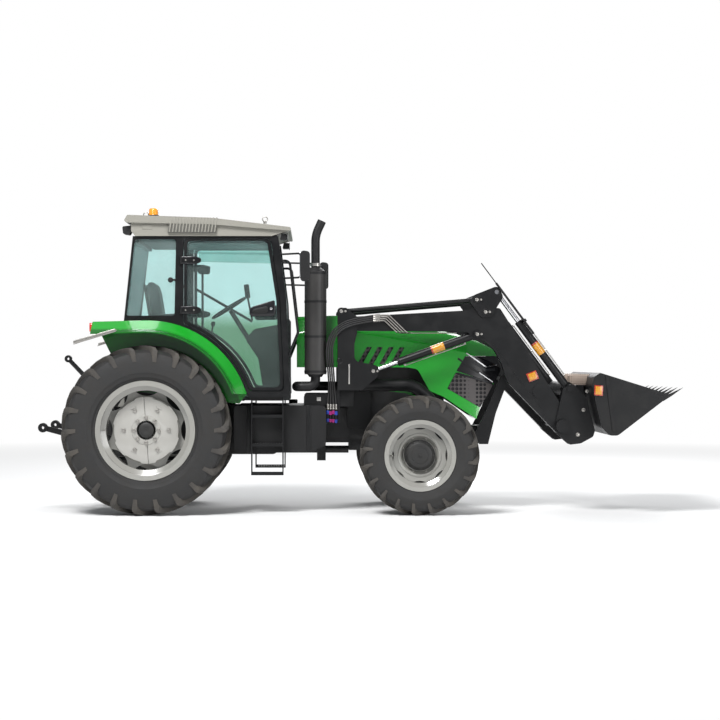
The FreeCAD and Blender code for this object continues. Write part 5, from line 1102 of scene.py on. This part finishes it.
def door_fittings(word, side):
    """Handle, lock, hinges, sun band and quarter latch of one door."""
    body = "door_" + word
    case = [(-1030, 1925), (-1018, 1982), (-990, 2000), (-800, 2058), (-782, 2052),
        (-776, 1925), (-800, 1905), (-1005, 1900)]
    placed(plate("handle_case_" + word, case, side * 756, side * 778, 8), "dark_gloss", body)
    pull = [(-1000, 1946), (-986, 1974), (-862, 2002), (-846, 1990), (-850, 1948),
        (-866, 1934), (-986, 1930)]
    placed(plate("handle_pull_" + word, pull, side * 774, side * 790, 5), "plastic", body)
    lock = disc("door_lock_" + word, (-818, 1978), side * 776, side * 792, 13, 20, 1.5)
    placed(lock, "chrome", body)
    knob = disc("quarter_knob", (-1786, 2254), side * 742, side * 776, 26, 24, 5)
    arm = block("quarter_arm", mm(-1786, side * 752 - 6, 2244), mm(-1716, side * 752 + 6, 2264),
        0.003)
    placed(joined("quarter_latch_" + word, [knob, arm]), "plastic", "tractor")
    hinges = (2443, 1963)
    screws = [side_bolt("screw", (x, side * 781.5, z), side, 8, 5)
        for z in hinges for x in (-1640, -1560)]
    placed(joined("hinge_screws_" + word, screws), "zinc", body)
    for index, z in enumerate(hinges):
        outline = [(-1700, z - 36), (-1560, z - 38), (-1512, z - 28), (-1496, z),
            (-1512, z + 28), (-1560, z + 38), (-1700, z + 36)]
        cover = plate("hinge_cover_%d_%s" % (index, word), outline, side * 757, side * 782, 8)
        placed(cover, "dark_gloss", body)
    band = [(-1608, 2510), (-748, 2490), (-758, 2606), (-1608, 2610)]
    placed(plate("sun_band_" + word, band, side * 741, side * 745), "band", body)


def mirror_glass():
    glasses = []
    for side, x in ((-1, -490), (1, -300)):
        glasses.append(block("glass", mm(x - 52, side * 1010 - 50, 2262),
            mm(x - 44, side * 1010 + 50, 2500), 0.003))
    placed(joined("mirror_glass", glasses), "mirror", "tractor")


def lamp_lenses():
    """Lenses of the roof lamps and the tail lamps, and the stays behind the fenders."""
    front = bar("front_lamp_lenses", (-672, -700, 2670), (-658, -700, 2670), 34, 32, 2)
    placed(mirrored(front), "clear", "tractor")
    rim = ring("front_lamp_rims", mm(-664, -700, 2670), 36, 4, (1, 0, 0), 40, 8)
    placed(mirrored(rim), "plastic", "tractor")
    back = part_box("fenders")[0][0]
    tail = block("tail_lenses", (back - 0.036, -0.773, 1.756), (back + 0.001, -0.617, 1.840),
        0.006)
    placed(mirrored(tail), "red", "tractor")
    stay = [(-2690, 1640), (-2640, 1648), (-2290, 1752), (-2276, 1768), (-2300, 1780),
        (-2660, 1676), (-2692, 1662)]
    placed(mirrored(plate("stay_bars", stay, -1001, -1008, 2)), "zinc", "tractor")


def cab_controls():
    """Horn cap, levers, door bar, head pad and side console."""
    column = math.radians(32)
    cap = spun("horn_cap", [(0.0, 0.0001), (0.0, 0.030), (0.010, 0.034), (0.018, 0.026),
        (0.020, 0.0001)], mm(-1259, 0, 2006) + Vector((-0.53, 0, 0.848)) * 0.004, 32,
        (-math.sin(column), 0, math.cos(column)))
    placed(cap, "cap_red", "steering_wheel")
    stalk = bar("stalk", (-1020, -170, 1880), (-1066, -176, 2110), 10, 16)
    grip = bar("grip", (-1062, -176, 2096), (-1080, -178, 2236), 26, 20, 12)
    placed(joined("loader_lever", [stalk, grip]), "plastic", "tractor")
    grab = bar("door_bar", (-1640, 716, 2226), (-1050, 716, 1886), 14, 20)
    placed(grab, "plastic", "door_left")
    post = bar("post", (-1545, 330, 1600), (-1545, 330, 2380), 12, 16)
    pad = block("pad", mm(-1590, 262, 2362), mm(-1470, 398, 2440), 0.024, 3)
    placed(joined("head_pad", [post, pad]), "interior", "tractor")
    console = [(-1990, 1480), (-1300, 1480), (-1320, 1660), (-1500, 1760), (-1900, 1790),
        (-1990, 1760)]
    placed(plate("console", console, -300, -440, 22), "interior", "tractor")
    rod = bar("rod", (-1420, -370, 1700), (-1400, -370, 1830), 9, 12)
    ball = bar("ball", (-1402, -370, 1815), (-1396, -370, 1862), 20, 20, 10)
    placed(joined("range_lever", [rod, ball]), "plastic", "tractor")


class TRACTOR_OT_cab_detail(bpy.types.Operator):
    """Door handles, latches, mirror glass, lamp lenses and the cab's controls"""
    bl_idname = "tractor.cab_detail"
    bl_label = "Cab"

    def execute(self, context):
        for word, side in SIDES:
            door_fittings(word, side)
        mirror_glass()
        lamp_lenses()
        cab_controls()
        return {"FINISHED"}


def seat_pad(name, outline, half):
    """A cushion: a rounded form that is blown up a little as cloth."""
    piece = plate(name, outline, -half, half, 26)
    puff_up(piece)
    return piece


def puff_up(piece):
    only(piece)
    remesh = piece.modifiers.new("Remesh", "REMESH")
    remesh.mode = "VOXEL"
    remesh.voxel_size = 0.009
    bpy.ops.object.modifier_apply(modifier=remesh.name)
    start = [v.co.copy() for v in piece.data.vertices]
    cloth = piece.modifiers.new("Cloth", "CLOTH")
    cloth.settings.use_pressure = True
    cloth.settings.uniform_pressure_force = 4
    cloth.settings.effector_weights.gravity = 0
    for step in range(1, 16):
        bpy.context.scene.frame_set(step)
    bpy.ops.object.modifier_apply(modifier=cloth.name)
    bpy.context.scene.frame_set(1)
    for vertex, first in zip(piece.data.vertices, start):
        moved = vertex.co - first
        if moved.length > 0.012:
            vertex.co = first + moved.normalized() * 0.012
    smooth = piece.modifiers.new("Smooth", "SUBSURF")
    smooth.levels = smooth.render_levels = 1
    bpy.ops.object.modifier_apply(modifier=smooth.name)


class TRACTOR_OT_seat(bpy.types.Operator):
    """Suspension seat: cushion, back rest, shell, arm rests and bellows"""
    bl_idname = "tractor.seat"
    bl_label = "Seat"

    def execute(self, context):
        cushion = seat_pad("seat_cushion", [(-1950, 1635), (-1500, 1650), (-1480, 1690),
            (-1510, 1735), (-1930, 1715), (-1965, 1680)], 232)
        back = seat_pad("seat_back", [(-1975, 1735), (-1885, 1720), (-1955, 2150), (-1990, 2262),
            (-2045, 2270), (-2070, 2235)], 222)
        for piece in (cushion, back):
            placed(piece, "cloth", "tractor", smooth=60)
        shell = plate("seat_shell", [(-1990, 1622), (-1500, 1622), (-1490, 1640), (-1965, 1632),
            (-2002, 1720), (-2090, 2240), (-2104, 2240), (-2010, 1690)], -214, 214, 5)
        placed(shell, "plastic", "tractor")
        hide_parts("seat")
        arm = plate("arm_rests", [(-1990, 1888), (-1990, 1930), (-1690, 1950), (-1670, 1925),
            (-1700, 1895)], -246, -306, 14)
        placed(mirrored(arm), "interior", "tractor")
        bellows = block("seat_bellows", mm(-1930, -150, 1484), mm(-1560, 150, 1624), 0.03, 3)
        placed(bellows, "plastic", "tractor")
        return {"FINISHED"}


# ---------------------------------------------------------------- loader

# The body that carries each pin, and its place in the side view, in millimetres.
PINS = (("tractor", -56, 1837), ("tractor", -141, 1956), ("boom", 1256, 1949),
    ("bell_cranks", 1171, 2068), ("bell_cranks", 1368, 2143), ("tractor", 169, 1376),
    ("boom", 1176, 1734))
# The pins of that list whose right-hand ends are covered.
LEFT_ONLY = (0, 4)
# Name, base pin, eye pin, barrel's length, place of its band, and the side of its oil pipe.
CYLINDERS = (("lift", (1176, 1734), (169, 1376), 818, 395, -1),
    ("tilt", (2070, 1199), (1368, 2143), 823, 490, 1))
# Weld beads on an arm, whose lighter black paints the highlight along its edges, and the paths of
# the hoses, in the side view.
ARM_HIGHLIGHT_BEADS = ([(120, 1930), (900, 1985), (1250, 1990)], [(1330, 1640), (1560, 1330), (1860, 930)],
    [(1560, 1750), (1750, 1440), (1990, 1060)])
TOWER_RUN = [(-231, -528, 1200), (-240, -574, 1350), (-254, -652, 1490), (-256, -652, 1640),
    (-200, -652, 1762), (-110, -652, 1826), (-56, -652, 1842)]
BOOM_RUN = [(-55, -652, 1842.3), (59, -652, 1876), (214.7, -652, 1892)]


def pin_end(name, body, x, z, side):
    """Boss, keeper, end face and bolt of one pin."""
    outer = side * PIN_PLANE
    boss = disc("boss", (x, z), outer, outer + side * 7, 34, 40, 2)
    keeper = plate("keeper", oblong(x - 12, x + 52, z - 12, z + 12), outer + side * 6,
        outer + side * 11, 2)
    placed(joined(name + "_boss", [boss, keeper]), "black", body)
    centre = disc("centre", (x, z), outer + side * 6, outer + side * 14, 17, 32, 2)
    bolt = side_bolt("bolt", (x + 40, outer + side * 11, z), side, 9, 8)
    placed(joined(name + "_end", [centre, bolt]), "zinc", body)


def cylinder_line(foot, eye):
    """Where the right-hand cylinder's base pin is, and the direction of its rod."""
    run = Vector((eye[0] - foot[0], 0, eye[1] - foot[1])).normalized()
    return Vector((foot[0], -BARREL_PLANE, foot[1])), run


def cylinder_fittings():
    """Gland sleeves, ports and oil pipes along the barrels."""
    for name, foot, eye, length, _, pipe_side in CYLINDERS:
        body = name + "_barrels"
        start, run = cylinder_line(foot, eye)
        up = Vector((run.z, 0, -run.x)) * pipe_side
        glands = []
        for at, deep, wide in ((96, 0.016, 0.0418), (length - 34, 0.033, 0.0425)):
            profile = [(0, 0.0392), (0, 0.0408), (0.002, wide), (deep - 0.002, wide),
                (deep, 0.0408), (deep, 0.0392)]
            glands.append(spun("gland", profile, (start + run * at) / 1000, 48, run))
        placed(mirrored(joined(name + "_glands", glands)), "black", body)
        near = start + run * 140
        far = start + run * (length - 62)
        clip = near + run * 300
        fittings = [bar("port", port + up * 34, port + up * 56, 13, 6, 1) for port in (near, far)]
        fittings.append(bar("pipe", near + up * 52 + run * 4, far + up * 52, 6, 14))
        fittings.append(bar("clip", clip + up * 34, clip + up * 57, 9, 12))
        placed(mirrored(joined(name + "_oil_pipes", fittings)), "bare", body)


def loader_reflectors():
    """Reflectors on the arms and the bucket, and a band round each right-hand barrel."""
    for word, side in SIDES:
        reflector("arm_reflector_" + word, [(1650, 1348), (1744, 1384), (1776, 1304),
            (1682, 1268)], 628.4, side, "boom")
        reflector("bucket_reflector_" + word, [(2268, 1245), (2350, 1238), (2346, 1140),
            (2264, 1147)], 933.4, side, "bucket")
    for name, foot, eye, _, band_at, _ in CYLINDERS:
        start, run = cylinder_line(foot, eye)
        centre, half = start + run * band_at, run * 58
        band = bar(name + "_band_right", centre - half, centre + half, 40.8, 48)
        placed(band, "reflector", name + "_barrels")
        edge = bar(name + "_band_edge_right", centre + half, centre + half * 1.28, 40.9, 48)
        placed(edge, "border", name + "_barrels")


def weld_and_highlight_beads():
    """Beads along the arms' boxed edges, in a lighter, glossier black that paints the highlight
    along those edges, and the plates and rings of the tower.
    """
    for word, side in SIDES:
        for index, corners in enumerate(ARM_HIGHLIGHT_BEADS):
            points = draped("boom_arms", corners, side, 20)
            if len(points) > 3:
                bead = strip("arm_highlight_bead_%d_%s" % (index, word), points, side, 5, 1.6)
                # The beads take the cab's lighter black: a painted highlight along the arm's
                # edges.
                placed(bead, "cab", "boom")
    placed(plate("tower_slot", oblong(-72, -58, 1250, 1442), -634, -641, 2), "bare", "tractor")
    gusset = plate("tower_gusset", oblong(-205, -20, 1030, 1230), -490, -496, 1)
    placed(gusset, "black", "tractor")
    for name, place, radius in (("tower_ring", (-154, -638.5, 1474), 26),
            ("tower_oval", (79, -626, 1290), 34)):
        placed(ring(name, mm(*place), radius, 4, SPIN, 40, 8), "black", "tractor")


def coupler_x(index):
    """Where one of the four hoses leaves its coupler."""
    return -231 - (index - 1.5) * 27


def bundle_shift(index):
    """How far one of the four hoses lies from the middle of the bundle."""
    return (index - 1.5) * 18


def hose_fittings():
    """Crimped sleeves at both ends of the hoses, and caps on the couplers."""
    tower_ends, boom_ends = [], []
    for index in range(4):
        x = coupler_x(index)
        tower_ends += [bar("crimp", (x, -528, 1001), (x, -528, 1054), 11.2, 20, 1),
            bar("nut", (x, -528, 1001), (x, -528, 1016), 13.5, 6, 1)]
    placed(joined("tower_hose_ends", tower_ends), "zinc", "tractor")
    for index in range(4):
        z = 1892 + bundle_shift(index)
        boom_ends += [bar("crimp", (168, -652, z - 3.5), (216, -652, z), 10.8, 20, 1),
            bar("nut", (217, -652, z), (232, -652, z), 12.5, 6, 1)]
    placed(joined("boom_hose_ends", boom_ends), "zinc", "boom")
    for index, finish in enumerate(("cap_blue", "cap_red", "cap_red", "cap_blue")):
        x = coupler_x(index)
        cap = spun("coupler_cap_%d" % index, [(0, 0.0001), (0.004, 0.0125), (0.024, 0.0155),
            (0.026, 0.0180), (0.034, 0.0180), (0.036, 0.0001)], mm(x, -528, 868 + 3 * index), 28,
            UPRIGHT)
        placed(cap, finish, "tractor")
        collar = spun("coupler_collar_%d" % index, [(0, 0.012), (0, 0.017), (0.030, 0.017),
            (0.034, 0.014), (0.034, 0.012)], mm(x, -528, 948 + 9 * (index % 2)), 28, UPRIGHT)
        placed(collar, finish, "tractor")


def hitch_mesh():
    """Mesh bracket over the carrier, and the bolts of the bucket's hooks."""
    mesh = plate("hitch_mesh", [(2100, 1240), (2262, 1240), (2300, 1330), (2290, 1346),
        (2112, 1346), (2096, 1330)], -300, -480, 6)
    placed(mirrored(mesh), "fawn", "bucket")
    bolts = [side_bolt("bolt", (x, -638.5, z), -1, 15, 12)
        for x, z in ((2205, 1000), (2150, 760), (2240, 1180))]
    placed(mirrored(joined("hitch_bolts", bolts)), "zinc", "bucket")


class TRACTOR_OT_loader_detail(bpy.types.Operator):
    """Pin keepers, welds that carry painted edge highlights, reflectors, cylinder glands, ports
    and hose fittings
    """
    bl_idname = "tractor.loader_detail"
    bl_label = "Loader"

    def execute(self, context):
        for word, side in SIDES:
            for index, (body, x, z) in enumerate(PINS):
                if side > 0 or index not in LEFT_ONLY:
                    pin_end("pin_%d_%s" % (index, word[0]), body, x, z, side)
        cylinder_fittings()
        loader_reflectors()
        weld_and_highlight_beads()
        hose_fittings()
        hitch_mesh()
        return {"FINISHED"}


def beside(path, shift):
    """The path, moved sideways in the side view."""
    points = [Vector(point) for point in path]
    made = []
    for index, point in enumerate(points):
        into = point - points[index - 1] if index else points[1] - points[0]
        out = points[index + 1] - point if index + 1 < len(points) else into
        first = Vector((-into.z, 0, into.x)).normalized()
        second = Vector((-out.z, 0, out.x)).normalized()
        across = (first + second).normalized()
        made.append((point + across * (shift / across.dot(first))) / 1000)
    return made


def laid_hose(name, points, body):
    curve = bpy.data.curves.new(name, "CURVE")
    curve.dimensions = "3D"
    curve.resolution_u = 24
    curve.bevel_depth = 0.008
    curve.bevel_resolution = 5
    curve.use_fill_caps = True
    line = curve.splines.new("NURBS")
    line.points.add(len(points) - 1)
    for point, place in zip(line.points, points):
        point.co = (*place, 1)
    line.order_u = 3
    line.use_endpoint_u = True
    piece = bpy.data.objects.new(name, curve)
    bpy.context.collection.objects.link(piece)
    piece.data.materials.append(materials["hose"])
    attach(piece, body)
    curve_length(piece)
    return piece


def curve_length(piece):
    """The line's real length, measured on its own shape."""
    probe = piece.copy()
    probe.data = piece.data.copy()
    probe.data.bevel_depth = 0
    bpy.context.collection.objects.link(probe)
    bpy.context.view_layer.update()
    shape = probe.evaluated_get(bpy.context.evaluated_depsgraph_get()).to_mesh()
    total = sum((shape.vertices[e.vertices[0]].co - shape.vertices[e.vertices[1]].co).length
                for e in shape.edges)
    bpy.data.objects.remove(probe)
    return total


class TRACTOR_OT_hoses(bpy.types.Operator):
    """The loader's hoses, each a smooth line through its own points"""
    bl_idname = "tractor.hoses"
    bl_label = "Hoses"

    def execute(self, context):
        laid = {"tower_hoses": [], "boom_hoses": []}
        for index in range(4):
            root, shift = coupler_x(index), bundle_shift(index)
            tower = [mm(root, -528, 1000.3), mm(root, -528, 1070)] + beside(TOWER_RUN, shift)
            laid["tower_hoses"].append(laid_hose("tower_hose_%d" % index, tower, "tractor"))
            boom = beside(BOOM_RUN, shift)
            laid["boom_hoses"].append(laid_hose("boom_hose_%d" % index, boom, "boom"))
        for node, hoses in laid.items():
            for hose in hoses:
                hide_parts(node)
        return {"FINISHED"}


# ---------------------------------------------------------------- chassis and exhaust

def exhaust_shield():
    """Perforated guard, its bands, and the clamp of the stack."""
    centre = mm(-391, -560, 0)
    shield = spun("exhaust_shield", sleeve(1.345, 2.345, 0.100, 0.1065), centre, 72, UPRIGHT)
    placed(shield, "shield", "tractor")
    bands = [spun("band", sleeve(z, z + 0.022, 0.104, 0.1095), centre, 64, UPRIGHT)
        for z in (1.360, 1.700, 2.040, 2.318)]
    placed(joined("exhaust_bands", bands), "heat", "tractor")
    clamp = spun("stack_clamp", sleeve(2.396, 2.424, 0.040, 0.052), centre, 48, UPRIGHT)
    placed(clamp, "bare", "tractor")


def tank_straps():
    """Straps round the side tanks, the filler cap and the latches of the boxes."""
    straps = [plate("strap", oblong(x, x + 46, 584, 1046), -260, -584, 4) for x in (-1060, -480)]
    placed(mirrored(joined("tank_straps", straps)), "black", "tractor")
    cap = spun("fuel_cap", [(0.0, 0.0001), (0.0, 0.044), (0.030, 0.046), (0.040, 0.040),
        (0.042, 0.0001)], mm(-620, 480, 1040), 48, UPRIGHT)
    placed(cap, "plastic", "tractor")
    latch = block("box_latches", mm(-380, -497, 1082), mm(-340, -489, 1122), 0.003)
    placed(mirrored(latch), "bare", "tractor")


def step_treads():
    teeth = []
    for z in (936, 662, 379):
        for x in range(-985, -985 + 11 * 26, 26):
            teeth.append(plate("tooth", [(x, z + 8), (x + 9, z + 17), (x + 18, z + 8)], -540,
                -686))
    placed(mirrored(joined("step_treads", teeth)), "bare", "tractor", smooth=0)


def fender_bolts():
    """Bolts on the top of the fenders, dropped on the skin towards the hub."""
    x, z = REAR_HUB
    bolts = []
    for angle in (18, 34, 50, 66, 84, 104):
        turn = math.radians(angle)
        out = Vector((math.cos(turn), 0, math.sin(turn)))
        hit, place, normal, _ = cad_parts["fenders"].ray_cast(
            mm(x + out.x * 1312, -960, z + out.z * 1312), -out)
        if hit:
            bolts.append(hex_bolt("bolt", place - normal * 0.001, normal, 0.009, 0.006))
    if bolts:
        placed(mirrored(joined("fender_bolts", bolts)), "green", "tractor")


def axle_bolts():
    x, z = REAR_HUB
    bolt = side_bolt("trumpet_bolts", (x, -430, z + 200), -1, 12, 14)
    placed(mirrored(copies(bolt, around(mm(x, 0, z), SPIN, 10))), "zinc", "tractor")
    nipple = bar("grease_points", (606, -548, 690), (606, -548, 706), 6, 8)
    placed(mirrored(nipple), "bare", "tractor")


def edge_bolts():
    """Bolts of the bucket's cutting edge, dropped on its floor."""
    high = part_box("bucket")[1]
    bolts = []
    for step in range(9):
        start = Vector((high[0] - 0.07, -0.84 + step * 0.21, 2.5))
        hit, place, normal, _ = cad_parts["bucket"].ray_cast(start, Vector((0, 0, -1)))
        if hit and place.z < 1.4:
            bolts.append(hex_bolt("bolt", place - normal * 0.001, normal, 0.012, 0.006))
    if bolts:
        placed(joined("edge_bolts", bolts), "bare", "bucket")


class TRACTOR_OT_chassis_detail(bpy.types.Operator):
    """Exhaust shield, tank straps, step treads, fender bolts and axle detail"""
    bl_idname = "tractor.chassis_detail"
    bl_label = "Chassis"

    def execute(self, context):
        exhaust_shield()
        tank_straps()
        step_treads()
        fender_bolts()
        axle_bolts()
        edge_bolts()
        return {"FINISHED"}


classes = [PaintSettings, TyreSettings, StageSettings, TRACTOR_OT_stage,
           TRACTOR_OT_finish_frame, TRACTOR_OT_tyres, TRACTOR_OT_wheel_discs,
           TRACTOR_OT_hood_detail, TRACTOR_OT_roof_detail, TRACTOR_OT_cab_detail,
           TRACTOR_OT_seat, TRACTOR_OT_loader_detail, TRACTOR_OT_hoses,
           TRACTOR_OT_chassis_detail]
steps = ["stage", "finish_frame", "tyres", "wheel_discs", "hood_detail", "roof_detail",
         "cab_detail", "seat", "loader_detail", "hoses", "chassis_detail"]


class TRACTOR_PT_panel(bpy.types.Panel):
    """Lists the steps in the order in which they run"""
    bl_idname = "TRACTOR_PT_panel"
    bl_label = "Loader Tractor"
    bl_space_type = "VIEW_3D"
    bl_region_type = "UI"
    bl_category = "Loader Tractor"

    def draw(self, context):
        for step in steps:
            self.layout.operator("tractor." + step)
        for group in ("tractor_paint", "tractor_tyres", "tractor_stage"):
            settings = getattr(context.scene, group)
            for key in settings.__annotations__:
                self.layout.prop(settings, key)


def register():
    for item in classes + [TRACTOR_PT_panel]:
        bpy.utils.register_class(item)
    bpy.types.Scene.tractor_paint = PointerProperty(type=PaintSettings)
    bpy.types.Scene.tractor_tyres = PointerProperty(type=TyreSettings)
    bpy.types.Scene.tractor_stage = PointerProperty(type=StageSettings)


def unregister():
    for group in ("tractor_stage", "tractor_tyres", "tractor_paint"):
        delattr(bpy.types.Scene, group)
    for item in reversed(classes + [TRACTOR_PT_panel]):
        bpy.utils.unregister_class(item)


def main():
    register()
    for step in steps:
        getattr(bpy.ops.tractor, step)()


if __name__ == "__main__":
    main()
